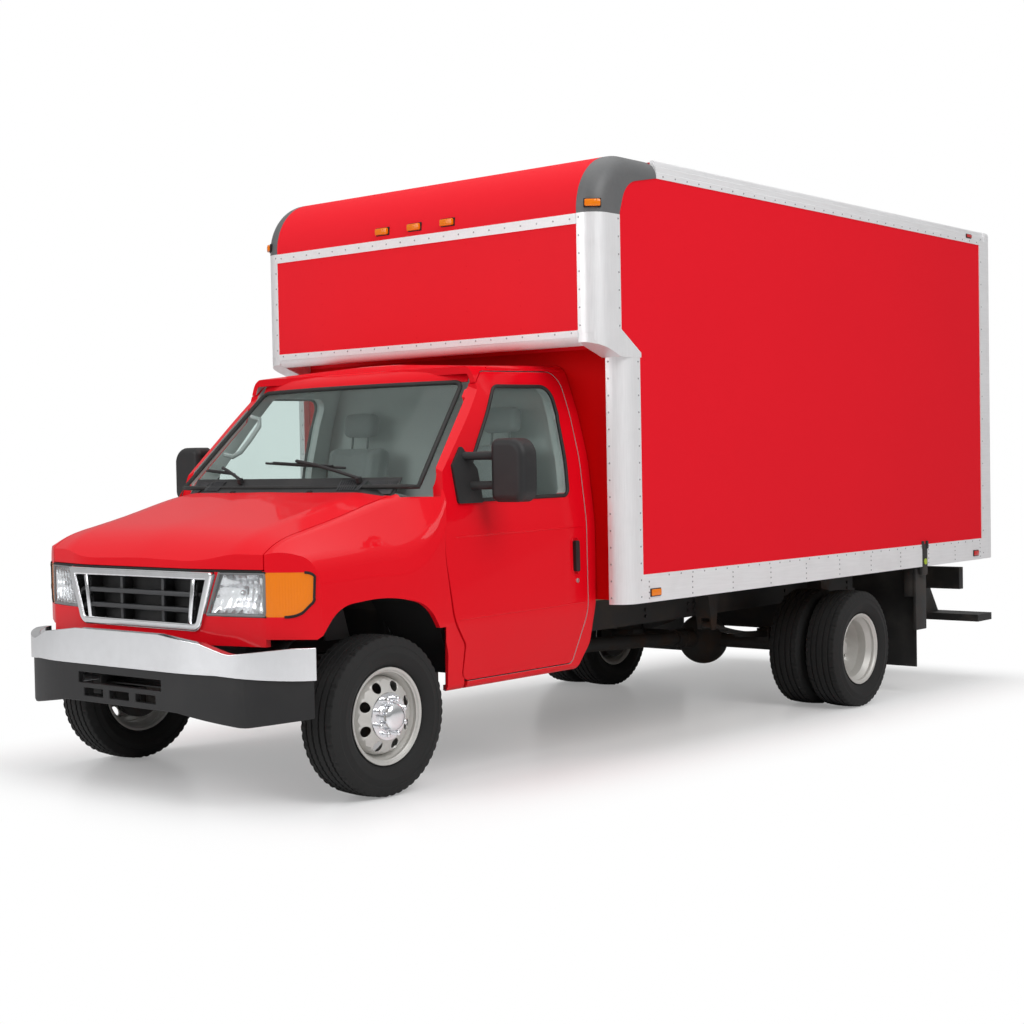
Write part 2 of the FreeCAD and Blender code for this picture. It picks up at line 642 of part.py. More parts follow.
NOSE_STATIONS = [
    (660, 1040, 1000, 925, 1035, 66), (560, 1135, 1085, 938, 1062, 80), (480, 1188, 1145, 948, 1070, 100),
    (300, 1248, 1205, 960, 1078, 130), (50, 1310, 1265, 968, 1088, 130), (-200, 1372, 1332, 975, 1108, 130),
    (-350, 1392, 1372, 974, 1240, 100), (-560, 1396, 1380, 974, 1290, 100),
]


@functools.lru_cache(maxsize=None)
def nose_volume(inset):
    """Bonnet and wings in front of the doors."""
    wires = [grown(nose_section(*station), inset) for station in NOSE_STATIONS]
    body = Part.makeLoft(wires, True, False)
    plan = grown(outline("XY", SILL_BOTTOM - 60, NOSE_PLAN), inset)
    return body.common(Part.Face(plan).extrude(vec(0, 0, 1200)))


NOSE_PLAN = [
    (-700, -1100), (300, -1100), (395, -985), (530, -770, 160), (612, -420, 900),
    (612, 420, 900), (530, 770, 160), (395, 985), (300, 1100), (-700, 1100),
]
ARCH_RADIUS = 470.0
ARCH_OUTLINE = [
    (470, 300), (455, 690, 120), (300, 880, 200), (0, 905, 900), (-250, 850, 200), (-385, 640, 200),
    (-385, 300),
]
LAMP_LOW = 842.0
LAMP_HIGH = 1034.0
HOOD_EDGE_Y = 760.0
HOOD_LOW = 1046.0
HOOD_REAR_X = -142.0
HOOD_BOW = 93.0
GRILLE_OUTLINE = [(-430, 768, 60), (430, 768, 60), (522, 1034, 14), (-522, 1034, 14)]
GRILLE_FRAME = 36.0
WING_LOW = 745.0
PANEL_LOW = 712.0
STEER_CLEARANCE = 6.0
LEG_FLANGE_Y = 930.0


def lamp_outline(side):
    """Front view of one headlamp."""
    edge = HOOD_EDGE_Y + SHUT_GAP
    corners = [(462, LAMP_LOW, 10), (edge, LAMP_LOW, 0), (edge, LAMP_HIGH, 0), (528, LAMP_HIGH, 10)]
    return [(side * a, b, r) for a, b, r in corners]


def turn_prism():
    """Side view block of the corner lamp."""
    return slab("XZ", HOOD_EDGE_Y + SHUT_GAP, 1100, [
        (800, LAMP_LOW), (800, LAMP_HIGH), (412, LAMP_HIGH, 24), (415, 910, 60), (452, LAMP_LOW, 55)])


def skin(volume, inset):
    """Hollow shell of a volume function."""
    return volume(0).cut(volume(inset))


# Cab pieces

def side_prism(corners, y0, y1):
    """Block of a side view outline between two Y planes."""
    return slab("XZ", y0, y1, corners)


def shrunk(corners, plane, low, high, inset):
    """Block of an outline moved inwards by the inset."""
    face = Part.Face(grown(outline(plane, low, corners), inset))
    return face.extrude(PLANES[plane][1] * (high - low))


def screen_outline(top, rounding):
    """Front view of the windscreen opening, its leaning sides carried up to the given height."""
    half = SCREEN_FOOT_HALF - (top - SCREEN_FOOT_Z) * SCREEN_SIDE_LEAN
    return [(-SCREEN_FOOT_HALF, SCREEN_FOOT_Z, 50), (SCREEN_FOOT_HALF, SCREEN_FOOT_Z, 50),
            (half, top, rounding), (-half, top, rounding)]


def screen_opening(inset):
    """Block through the windscreen, seen from the front."""
    return shrunk(screen_outline(SCREEN_HEAD_Z, 60), "YZ", -1050, 0, inset)


def pillar_zone(width, depth):
    """Strip round the windscreen, up into the roof, that belongs to the shell and not to the doors."""
    return shrunk(screen_outline(ROOF_TOP, 0), "YZ", -1050, 0, -width).cut(screen_volume(depth))


def door_zone(gap):
    """Space of the left door: its side view, less the strip of the windscreen pillar."""
    space = shrunk(DOOR_OUTLINE, "XZ", 600, 1200, -gap)
    return space.cut(pillar_zone(PILLAR_WIDTH - gap, PILLAR_DEPTH - gap))


def cab_shell():
    """Roof, windscreen pillars, rear quarters and back wall in one welded shell."""
    shell = skin(cab_volume, CAB_SKIN)
    doorway = door_zone(DOOR_GAP)
    low = block(-1700, 0, -SILL_INNER, SILL_INNER, 300, FLOOR_BOTTOM + FLOOR_THICK)
    low = low.fuse(block(-DOOR_FRONT_LOW, 0, -1200, 1200, 300, 700))
    nose = block(-520, 0, -1200, 1200, 300, PILLAR_FOOT)
    shell = shell.cut([doorway, mirrored(doorway), screen_opening(0), low, nose])
    return max(shell.Solids, key=lambda s: s.Volume)


def windshield():
    """Curved glass that fills the opening in the shell."""
    sheet = cab_volume(4).cut(cab_volume(4 + GLASS)).common(screen_opening(0))
    return max(sheet.Solids, key=lambda s: s.Volume)


def cab_floor():
    """Floor pan, webs down to the sills, footwell wall and seat pedestals."""
    top = FLOOR_BOTTOM + FLOOR_THICK
    pan = block(CAB_REAR_X, -455, -FLOOR_HALF, FLOOR_HALF, FLOOR_BOTTOM, top)
    web = block(CAB_REAR_X, -DOOR_FRONT_LOW, SILL_INNER, SILL_INNER + 18, SILL_BOTTOM, FLOOR_BOTTOM + 2)
    bulk = slab("XZ", -FLOOR_HALF, FLOOR_HALF, [
        (-455, FLOOR_BOTTOM), (-455, top), (-400, 800), (FIREWALL_X, 960), (FIREWALL_X, 1300),
        (FIREWALL_X + 16, 1300), (FIREWALL_X + 16, 950), (-385, 790), (-436, FLOOR_BOTTOM)])
    bay = block(-700, 0, -ENGINE_HALF - 22, ENGINE_HALF + 22, 500, COVER_TOP - 14)
    cover = block(-1000, FIREWALL_X, -COVER_HALF, COVER_HALF, top, COVER_TOP)
    bulk = bulk.cut([bay, cover]).common(nose_volume(HOOD_SKIN + RUN_GAP))
    pan = pan.cut(block(-600, 0, -ENGINE_HALF - 22, ENGINE_HALF + 22, 500, 700))
    tray = joined([pan, web, mirrored(web)]).common(cab_volume(CAB_SKIN))
    mounts = [block(x - 40, x + 40, y0, y0 + 60, RAIL_TOP - RAIL_DROP, FLOOR_BOTTOM)
              for x in (-560, -1180) for y0 in (RAIL_OUT - 60, -RAIL_OUT)]
    pedestals = [block(-1290, -960, y - 190, y + 190, top, SEAT_LOW) for y in (SEAT_Y, -SEAT_Y)]
    house = house_block()
    return joined([tray, bulk] + mounts + pedestals).cut([house, mirrored(house)])


FLOOR_HALF = 925.0
DOOR_FRONT_LOW = 505.0
SILL_INNER = 880.0
FIREWALL_X = -262.0
COVER_TOP = 1075.0
COVER_HALF = 300.0
COVER_TAIL = 250.0
DASH_HALF = 875.0
DASH_FRONT_X = -372.0
SEAT_Y = 520.0
SEAT_LOW = 930.0


def dashboard():
    """Dash panel across the cab, with the engine cover below its middle."""
    panel = slab("XZ", -DASH_HALF, DASH_HALF, [
        (DASH_FRONT_X, 1290), (-560, 1325, 40), (-640, 1240, 60), (-610, 1010, 40), (-520, 960, 30),
        (DASH_FRONT_X, 960)])
    panel = panel.cut(block(-700, 0, -COVER_HALF, COVER_HALF, 900, COVER_TOP))
    cover = slab("XZ", -COVER_HALF, COVER_HALF, [
        (FIREWALL_X, FLOOR_BOTTOM + FLOOR_THICK), (FIREWALL_X, COVER_TOP),
        (-700, COVER_TOP, 90), (-880, 900, 60), (-930, FLOOR_BOTTOM + FLOOR_THICK)])
    hollow = slab("XZ", 14 - COVER_HALF, COVER_HALF - 14, [
        (FIREWALL_X + 20, 600), (FIREWALL_X + 20, COVER_TOP - 14),
        (-694, COVER_TOP - 14, 80), (-864, 895, 50), (-912, 600)])
    plan = slab("XY", 600, 1100, [
        (FIREWALL_X, COVER_HALF), (-650, COVER_HALF, 80), (-800, COVER_TAIL, 80), (-940, COVER_TAIL),
        (-940, -COVER_TAIL), (-800, -COVER_TAIL, 80), (-650, -COVER_HALF, 80), (FIREWALL_X, -COVER_HALF)])
    inner = shrunk([(FIREWALL_X + 30, COVER_HALF), (-650, COVER_HALF, 80), (-800, COVER_TAIL, 80),
                    (-940, COVER_TAIL), (-940, -COVER_TAIL), (-800, -COVER_TAIL, 80), (-650, -COVER_HALF, 80),
                    (FIREWALL_X + 30, -COVER_HALF)], "XY", 600, 1100, 14)
    cover = cover.common(plan).cut(hollow.common(inner))
    return joined([panel, cover])


WHEEL_POINT = FreeCAD.Vector(-755, 430, 1235)
WHEEL_TILT = 58.0
RING_RADIUS = 190.0
RING_GRIP = 14.0
RING_SIDES = 8


def steering_ring(normal):
    """Eight-sided grip ring, turned about the steering axis."""
    corners = []
    for i in range(RING_SIDES):
        angle = 2 * math.pi * (i + 0.5) / RING_SIDES
        corners.append((RING_RADIUS + RING_GRIP * math.cos(angle), RING_GRIP * math.sin(angle)))
    ring = Part.Face(outline("XZ", 0, corners)).revolve(vec(0, 0, 0), vec(0, 0, 1), 360)
    ring.Placement = FreeCAD.Placement(WHEEL_POINT, FreeCAD.Rotation(vec(0, 0, 1), normal))
    return ring


def steering_wheel():
    """Steering wheel with three spokes, boss and column."""
    lean = math.radians(WHEEL_TILT)
    normal = vec(-math.cos(lean), 0, math.sin(lean))
    ring = steering_ring(normal)
    boss = Part.makeCylinder(48, 40, WHEEL_POINT - normal * 40, normal)
    flat = vec(math.sin(lean), 0, math.cos(lean))
    spokes = [rod(WHEEL_POINT - normal * 20, WHEEL_POINT + d * RING_RADIUS, 9)
              for d in (vec(0, 1, 0), vec(0, -1, 0), flat * -1)]
    foot = WHEEL_POINT - normal * 230
    column = rod(foot, WHEEL_POINT - normal * 30, 34)
    return joined([ring, boss, column] + spokes).cut(dashboard())


def seats():
    """Two bucket seats with headrests."""
    seat = slab("XZ", SEAT_Y - 250, SEAT_Y + 250, [
        (-810, SEAT_LOW + RUN_GAP, 40), (-800, SEAT_LOW + 150, 50), (-1210, SEAT_LOW + 130, 30),
        (-1290, SEAT_LOW + 690, 40), (-1400, SEAT_LOW + 690, 40), (-1350, SEAT_LOW + 100, 60),
        (-1300, SEAT_LOW + RUN_GAP, 40)])
    rest = slab("XZ", SEAT_Y - 130, SEAT_Y + 130, [
        (-1300, SEAT_LOW + 670, 20), (-1315, SEAT_LOW + 860, 35), (-1400, SEAT_LOW + 860, 35),
        (-1385, SEAT_LOW + 670, 20)])
    return both_sides(joined([seat, rest]))


def hood_rear(offset):
    """Plan of the bonnet's bowed rear edge, moved backwards by the offset."""
    corner = HOOD_REAR_X - HOOD_BOW - offset
    return [(corner, HOOD_EDGE_Y), (HOOD_REAR_X - offset, 0, 3000), (corner, -HOOD_EDGE_Y)]


def hood():
    """Bonnet panel with its rolled front edge and its two hinge ears."""
    panel = skin(nose_volume, HOOD_SKIN)
    region = slab("XY", HOOD_LOW, 1600, hood_rear(0) + [(700, -HOOD_EDGE_Y), (700, HOOD_EDGE_Y)])
    panel = max(panel.common(region).Solids, key=lambda s: s.Volume)
    y0, y1 = HOOD_EDGE_Y - 32, HOOD_EDGE_Y
    ear = disc_y(HOOD_HINGE_X, HOOD_HINGE_Z, HOOD_EAR, y0, y1)
    ear = ear.fuse(block(HOOD_HINGE_X, HOOD_HINGE_X + 50, y0, y1, HOOD_HINGE_Z - 8, HOOD_HINGE_Z + 9))
    ear = ear.common(nose_volume(2))
    bore = disc_y(HOOD_HINGE_X, HOOD_HINGE_Z, HOOD_PIN + RUN_GAP, -HOOD_EDGE_Y - 1, HOOD_EDGE_Y + 1)
    return joined([panel, ear, mirrored(ear)]).cut(bore)


def steered_space():
    """Space that the left front tyre sweeps when it is steered, with the flange below the wing's leg."""
    reach = math.hypot(TYRE_RADIUS, FRONT_TYRE_Y + TYRE_WIDTH / 2 - KINGPIN_Y) + STEER_CLEARANCE
    sweep = Part.makeCylinder(reach, 2 * TYRE_RADIUS + STEER_CLEARANCE, vec(0, KINGPIN_Y, 0))
    flange = block(-600, 600, 0, LEG_FLANGE_Y, SILL_BOTTOM - 1, SILL_BOTTOM + 2 * HOOD_SKIN)
    return sweep.fuse(flange)


def fender():
    """Left front wing with its arch, lamp recess, the pillar foot and the bonnet's hinge pin."""
    panel = skin(nose_volume, HOOD_SKIN)
    y0 = HOOD_EDGE_Y + SHUT_GAP
    region = block(-560, 700, y0, 1100, WING_LOW, 1500)
    lower = block(DOOR_GAP - DOOR_FRONT_LOW, -300, y0, 1100, SILL_BOTTOM, WING_LOW)
    region = region.fuse(lower)
    door = shrunk(DOOR_OUTLINE, "XZ", 0, 1200, -DOOR_GAP)
    arch = slab("XZ", 0, 1200, ARCH_OUTLINE)
    screen = cab_volume(0).common(block(-1000, 0, 0, 1200, PILLAR_FOOT, 2100))
    panel = panel.common(region).cut([door, arch, turn_prism(), screen, steered_space()])
    pin = disc_y(HOOD_HINGE_X, HOOD_HINGE_Z, HOOD_PIN, HOOD_EDGE_Y - 30, y0 + 5)
    return joined([max(panel.Solids, key=lambda s: s.Volume), pin])


def fenders():
    """Both front wings."""
    return both_sides(fender())


def front_panel():
    """Red panel round the grille and the headlamps."""
    panel = skin(nose_volume, HOOD_SKIN)
    half = HOOD_EDGE_Y + SHUT_GAP
    region = block(350, 700, -half, half, PANEL_LOW, HOOD_LOW - SHUT_GAP)
    holes = [slab("YZ", 300, 800, lamp_outline(1)), slab("YZ", 300, 800, lamp_outline(-1)),
             shrunk(GRILLE_OUTLINE, "YZ", 300, 800, 0)]
    panel = panel.common(region).cut(holes)
    return max(panel.Solids, key=lambda s: s.Volume)


def headlights():
    """Two headlamps that fill their openings."""
    body = nose_volume(3).cut(nose_volume(60))
    lamps = body.common(slab("YZ", 400, 800, lamp_outline(1)))
    lamp = max(lamps.Solids, key=lambda s: s.Volume)
    return both_sides(lamp)


def turn_lamps():
    """Two amber lamps that wrap round the corners."""
    body = nose_volume(1).cut(nose_volume(45))
    lamps = body.common(turn_prism())
    return both_sides(max(lamps.Solids, key=lambda s: s.Volume))


def grille_surround():
    """Bright frame of the grille, proud of the panel."""
    outer = shrunk(GRILLE_OUTLINE, "YZ", 520, 620, 0)
    inner = shrunk(GRILLE_OUTLINE, "YZ", 500, 640, GRILLE_FRAME)
    return outer.cut(inner)


def grille_insert():
    """Dark grille with cross bars and uprights."""
    inner = shrunk(GRILLE_OUTLINE, "YZ", 520, 600, GRILLE_FRAME)
    plate = shrunk(GRILLE_OUTLINE, "YZ", 520, 532, GRILLE_FRAME)
    bars = [block(532, 590, -480, 480, z - 8, z + 8) for z in (860, 930)]
    uprights = [block(532, 580, y - 8, y + 8, 780, 1010) for y in (-150, 150)]
    slants = [slab("YZ", 532, 600, [(s * 350, 780), (s * 375, 780), (s * 405, 1010), (s * 380, 1010)])
              for s in (1, -1)]
    return joined([plate] + [piece.common(inner) for piece in bars + uprights + slants])


BUMPER_PLAN = [
    (300, -992), (455, -992, 300), (650, -830, 450), (NOSE_REACH, -540, 1000), (NOSE_REACH, 540, 1000),
    (650, 830, 450), (455, 992, 300), (300, 992),
]


BAR_DEPTH = 40.0


def bumper_band(depth, corners, grow=0):
    """Band along the bumper's plan, trimmed to its front view."""
    outer = Part.Face(grown(outline("XY", 300, BUMPER_PLAN), -grow)).extrude(vec(0, 0, 600))
    inner = Part.Face(grown(outline("XY", 300, BUMPER_PLAN), depth - grow)).extrude(vec(0, 0, 600))
    band = outer.cut(inner).common(block(435, 800, -1100, 1100, 300, 900))
    return band.common(slab("YZ", 0, 900, corners))


def front_bumper():
    """Bright face bar with its brackets on the rails."""
    half = [(1000, 571), (1000, 712), (930, 716, 60), (700, 690, 120), (560, 735, 60), (300, 764, 100)]
    top = [(-a,) + tuple(rest) for a, *rest in half[::-1]]
    low = [(-640, 600, 200), (640, 600, 200)]
    bar = bumper_band(BAR_DEPTH, [half[0]] + half[1:] + top[:-1] + [top[-1]] + low)
    seat = NOSE_REACH - BAR_DEPTH
    brackets = [block(RAIL_FRONT_X, seat, y0, y0 + 50, 500, 590).fuse(
        block(seat - 40, seat, y0, y0 + 50, 500, 680)) for y0 in (375, -425)]
    return joined([bar] + [bracket.cut(valance_band()) for bracket in brackets])


def valance_band():
    """Lower apron of the bumper before its openings are cut."""
    corners = [(1000, 571), (640, 600, 200), (-640, 600, 200), (-1000, 571), (-1000, 414),
               (-755, 375, 200), (-400, 424, 100), (400, 424, 100), (755, 375, 200), (1000, 414)]
    return bumper_band(28, corners, -12)


def front_valance():
    """Dark lower apron of the bumper, with the air opening and three vents."""
    openings = [block(600, 800, -300, 300, 512, 560)]
    openings += [block(600, 800, y - 70, y + 70, 452, 488) for y in (-190, 0, 190)]
    return valance_band().cut(openings)


def cowl():
    """Black panel between the bonnet and the windscreen, notched for the bonnet's hinge ears."""
    edge = HOOD_EDGE_Y + SHUT_GAP
    rear = hood_rear(HOOD_REAR_GAP)
    plan = [(rear[0][0], edge), rear[1], (rear[2][0], -edge), (-560, -edge), (-560, edge)]
    sheet = nose_volume(6).cut(nose_volume(26)).common(slab("XY", 1200, 1500, plan)).cut(cab_volume(0))
    sheet = max(sheet.Solids, key=lambda piece: piece.Volume)
    reach = HOOD_EAR + SHUT_GAP
    notch = block(HOOD_HINGE_X - reach, 0, HOOD_EDGE_Y - 32 - SHUT_GAP, edge + 1, 1200, 1500)
    return sheet.cut([notch, mirrored(notch)])


HOUSE_OUTLINE = [
    (-ARCH_RADIUS - 22, 480), (-ARCH_RADIUS - 22, 640, 150), (-250, 930, 250), (250, 930, 250),
    (ARCH_RADIUS, 700, 150), (ARCH_RADIUS, 480),
]


def house_block():
    """Outer form of the left wheel house, behind the wing and the door."""
    body = slab("XZ", 560, 955, HOUSE_OUTLINE)
    plan = slab("XY", 400, 1000, [
        (-500, 500), (480, 500), (480, 770), (390, 900), (390, 955), (-345, 955), (-345, 920), (-500, 920)])
    return body.common(plan)


def wheel_houses():
    """Liners over the front wheels, from the wings to the chassis side."""
    hollow = shrunk(HOUSE_OUTLINE, "XZ", 500, 1100, 4)
    low = block(-600, 600, 400, 1100, 300, 500)
    liner = house_block().cut([hollow, low]).common(nose_volume(HOOD_SKIN + RUN_GAP))
    return both_sides(max(liner.Solids, key=lambda piece: piece.Volume))


# Doors

def door():
    """Left door, as thick as the whole door, with its window cut."""
    body = cab_volume(0).common(door_zone(0)).cut(cab_body(DOOR_THICK))
    window = side_prism(WINDOW_OUTLINE, 400, 1200)
    sill = block(-1600, 0, 0, FLOOR_HALF + 1, 300, 530)
    head = block(-1600, 0, 0, 770, 1850, 2100)
    leaf_solid = body.cut([window, sill, head])
    return max(leaf_solid.Solids, key=lambda piece: piece.Volume)


def door_glass():
    """Left door glass."""
    sheet = cab_body(GLASS_SET).cut(cab_body(GLASS_SET + GLASS))
    sheet = sheet.common(side_prism(WINDOW_OUTLINE, 400, 1200))
    return max(sheet.Solids, key=lambda piece: piece.Volume)


GLASS_SET = 18.0
MIRROR_X, MIRROR_Y, MIRROR_Z = -668.0, 1165.0, 1453.0
MIRROR_DEPTH, MIRROR_WIDTH, MIRROR_HEIGHT = 105.0, 205.0, 300.0
MIRROR_ARM = 20.0


def door_fittings():
    """Left mirror on its two arms, and the door handle."""
    proud = cab_volume(-12).cut(cab_volume(0))
    foot = proud.common(side_prism([(-500, 1300, 12), (-670, 1300, 12), (-670, 1460, 12),
                                    (-590, 1575, 12), (-505, 1480, 12)], 600, 1200))
    foot = max(foot.Solids, key=lambda piece: piece.Volume)
    x0, x1 = MIRROR_X - MIRROR_DEPTH / 2, MIRROR_X + MIRROR_DEPTH / 2
    head = shrunk([(MIRROR_Y - MIRROR_WIDTH / 2, MIRROR_Z - MIRROR_HEIGHT / 2, 40),
                   (MIRROR_Y + MIRROR_WIDTH / 2, MIRROR_Z - MIRROR_HEIGHT / 2, 60),
                   (MIRROR_Y + MIRROR_WIDTH / 2, MIRROR_Z + MIRROR_HEIGHT / 2, 85),
                   (MIRROR_Y - MIRROR_WIDTH / 2, MIRROR_Z + MIRROR_HEIGHT / 2, 40)], "YZ", x0, x1, 0)
    front_edges = [e for e in head.Edges if min(v.X for v in e.Vertexes) > x1 - 1]
    head = head.makeFillet(34, front_edges)
    arms = [rod(vec(-590, 900, MIRROR_Z + dz), vec(MIRROR_X, MIRROR_Y - 90, MIRROR_Z + dz), MIRROR_ARM)
            for dz in (-70, 70)]
    mirror = joined([foot, head] + [arm.cut(cab_volume(0)) for arm in arms])
    handle = cab_volume(-20).cut(cab_volume(0))
    handle = handle.common(side_prism([(-1356, 932, 12), (-1324, 932, 12), (-1324, 1089, 12),
                                       (-1356, 1089, 12)], 600, 1200))
    return Part.makeCompound([mirror, max(handle.Solids, key=lambda piece: piece.Volume)])


# Cargo box

def nose_block(inset):
    """Front block of the box with its big upper radius and rounded side edges."""
    low = NOSE_BOTTOM - 2400 if inset else NOSE_BOTTOM
    top = BOX_TOP - inset
    body = slab("XZ", -BOX_HALF + inset, BOX_HALF - inset, [
        (NOSE_X - inset, low), (NOSE_X - inset, top, NOSE_RADIUS - inset),
        (CAP_REAR_X - 400, top), (CAP_REAR_X - 400, low)])
    edges = []
    for edge in body.Edges:
        box = edge.BoundBox
        flat = box.YMax - box.YMin < 1
        ahead = box.XMax > CAP_REAR_X - 300
        if flat and ahead and box.ZMax - low > 1:
            edges.append(edge)
    return body.makeFillet(EDGE_RADIUS - inset, edges)


def nose_skin():
    """Shell of the front block."""
    return nose_block(0).cut(nose_block(BOX_SKIN))


def side_outline():
    """Side view of a side panel."""
    return [
        (SIDE_FRONT_X, SILL_TOP), (SIDE_FRONT_X, 2040), (-1475, 2105), (-1475, CAP_BOTTOM + 10, 60),
        (-1530, 2890, 150), (CAP_REAR_X, SIDE_TOP), (SIDE_REAR_X, SIDE_TOP), (SIDE_REAR_X, SILL_TOP)]


def side_walls():
    """Two panelled side walls."""
    panel = slab("XZ", BOX_HALF - BOX_WALL, BOX_HALF - 4, side_outline())
    return both_sides(panel)


def box_front():
    """Bulkhead behind the cab, floor of the overhang and the curved nose panel."""
    inner = BOX_HALF - POST_FACE
    nose = nose_skin().common(block(-1800, NOSE_X + 1, -inner, inner, NOSE_BOTTOM + 60, BOX_TOP + 1))
    nose = nose.common(block(NOSE_X - NOSE_RADIUS, NOSE_X + 1, -inner, inner, 2000, 3100))
    shelf_low = NOSE_BOTTOM + 60
    shelf = slab("XY", shelf_low, shelf_low + BOX_WALL, [
        (BULKHEAD_X, SHELF_HALF), (-1500, SHELF_HALF), (-1400, SHELF_HALF), (NOSE_X - EDGE_RADIUS, SHELF_HALF),
        (NOSE_X - EDGE_RADIUS, inner), (NOSE_X - BOX_SKIN + 1, inner), (NOSE_X - BOX_SKIN + 1, -inner),
        (NOSE_X - EDGE_RADIUS, -inner), (NOSE_X - EDGE_RADIUS, -SHELF_HALF), (BULKHEAD_X, -SHELF_HALF)])
    edge = BOX_HALF - POST_TURN
    wall = block(BULKHEAD_X - BOX_WALL, BULKHEAD_X, -edge, edge, BOX_BOTTOM + 20, POST_TOP)
    upper = block(BULKHEAD_X - BOX_WALL, BULKHEAD_X, -SHELF_HALF, SHELF_HALF, POST_TOP, shelf_low + BOX_WALL)
    return joined([nose, shelf, wall, upper])


def box_roof():
    """Roof sheet with its bows underneath."""
    half = BOX_HALF - BOX_WALL - 3
    front = NOSE_X - NOSE_RADIUS
    sheet = block(BOX_REAR_X + 60, front, -half, half, BOX_TOP - 26, BOX_TOP - 8)
    sheet = sheet.cut(both_sides(block(CAP_REAR_X, front + 1, BOX_HALF - POST_FACE, half + 1, 2900, 3100)))
    bows = [block(x - 20, x + 20, -half + 4, half - 4, BOX_TOP - 62, BOX_TOP - 25)
            for x in range(-2200, -5600, -600)]
    return joined([sheet] + bows)


SHELF_HALF = BOX_HALF - BOX_WALL - RUN_GAP
POST_TURN = 104.0
POST_TOP = 2024.0


def lower_post():
    """Curved aluminium post at the lower front corner of the box."""
    inner = BOX_HALF - POST_TURN
    plan = [(SIDE_FRONT_X, BOX_HALF), (POST_FRONT_X, BOX_HALF, POST_TURN - 2), (POST_FRONT_X, inner),
            (BULKHEAD_X - BOX_WALL, inner), (BULKHEAD_X - BOX_WALL, BOX_HALF - BOX_WALL),
            (SIDE_FRONT_X, BOX_HALF - BOX_WALL)]
    return slab("XY", BOX_BOTTOM, POST_TOP, plan)


POST_FRONT_X = -1473.0


def corner_posts():
    """Lower posts, upper posts of the overhang, and the corner pieces between them."""
    inner = BOX_HALF - POST_FACE
    upper = nose_skin().common(block(-1475, NOSE_X + 1, inner, BOX_HALF + 1, NOSE_BOTTOM + 60, CAP_BOTTOM))
    corner = slab("XZ", BOX_HALF - BOX_WALL, BOX_HALF, [
        (SIDE_FRONT_X, POST_TOP), (POST_FRONT_X, POST_TOP), (-1290, NOSE_BOTTOM + 2, 60), (-1290, NOSE_BOTTOM + 60),
        (-1475, NOSE_BOTTOM + 60), (-1475, 2105), (SIDE_FRONT_X, 2040)])
    corner = corner.common(nose_block(0).fuse(block(-1700, -1400, 1000, 1300, 2000, 2200)))
    return Part.makeCompound([both_sides(joined([lower_post(), corner])), both_sides(upper)])


def nose_trim():
    """Rail round the foot of the overhang, and the flat strip under its curved top."""
    inner = BOX_HALF - POST_FACE
    low = slab("XZ", -inner, inner, [
        (NOSE_X, NOSE_BOTTOM, 40), (NOSE_X, NOSE_BOTTOM + 60), (NOSE_X - 60, NOSE_BOTTOM + 60),
        (NOSE_X - 60, NOSE_BOTTOM)])
    face = block(NOSE_X, NOSE_X + 4, -inner, inner, NOSE_BOTTOM + 40, NOSE_BOTTOM + 74)
    strip = block(NOSE_X, NOSE_X + 4, -inner, inner, 2669, 2720)
    back = block(BULKHEAD_X, BULKHEAD_X + 30, -inner, inner, NOSE_BOTTOM + 30, NOSE_BOTTOM + 60)
    return Part.makeCompound([joined([low, face]), strip, back])


def corner_caps():
    """Moulded caps on the upper front corners."""
    inner = BOX_HALF - POST_FACE
    shell = nose_skin().common(block(CAP_REAR_X, NOSE_X + 1, inner, BOX_HALF + 1, CAP_BOTTOM, BOX_TOP + 1))
    panel = slab("XZ", 0, BOX_HALF + 5, side_outline())
    cap = shell.cut(panel)
    return both_sides(max(cap.Solids, key=lambda piece: piece.Volume))


def bottom_rails():
    """Bottom rails along both sides."""
    rail = slab("YZ", SIDE_REAR_X, SIDE_FRONT_X, [
        (BOX_HALF, BOX_BOTTOM), (BOX_HALF, SILL_TOP), (BOX_HALF - BOX_WALL, SILL_TOP),
        (BOX_HALF - BOX_WALL, BOX_BOTTOM + 10), (BOX_HALF - 60, BOX_BOTTOM + 10),
        (BOX_HALF - 60, BOX_BOTTOM)])
    return both_sides(rail)


def roof_rails():
    """Stepped rails along both upper edges."""
    h = BOX_HALF
    rail = slab("YZ", BOX_REAR_X + 60, CAP_REAR_X, [
        (h - BOX_WALL, SIDE_TOP), (h, SIDE_TOP), (h, SIDE_TOP + 30), (h - 5, SIDE_TOP + 33),
        (h - 5, SIDE_TOP + 62), (h - 14, SIDE_TOP + 66), (h - 14, BOX_TOP, 12), (h - BOX_WALL - 3, BOX_TOP),
        (h - BOX_WALL - 3, BOX_TOP - 40), (h - BOX_WALL, BOX_TOP - 44)])
    return both_sides(rail)


def cargo_floor():
    """Deck on cross bearers and two long sills over the rails."""
    half = BOX_HALF - BOX_WALL - RUN_GAP
    deck = block(SIDE_REAR_X, BULKHEAD_X - BOX_WALL - RUN_GAP, -half, half, FLOOR_TOP - DECK_THICK, FLOOR_TOP)
    bearers = [block(x - 22, x + 22, -half, half, BEARER_LOW, FLOOR_TOP - DECK_THICK)
               for x in range(-1640, -5750, -405)]
    sills = [block(BOX_REAR_X + 70, -1600, y0, y0 + 60, RAIL_TOP, BEARER_LOW + 1)
             for y0 in (RAIL_OUT - 60, -RAIL_OUT)]
    return joined([deck] + bearers + sills)


FLOOR_TOP = 900.0
DECK_THICK = 36.0
BEARER_LOW = 787.0


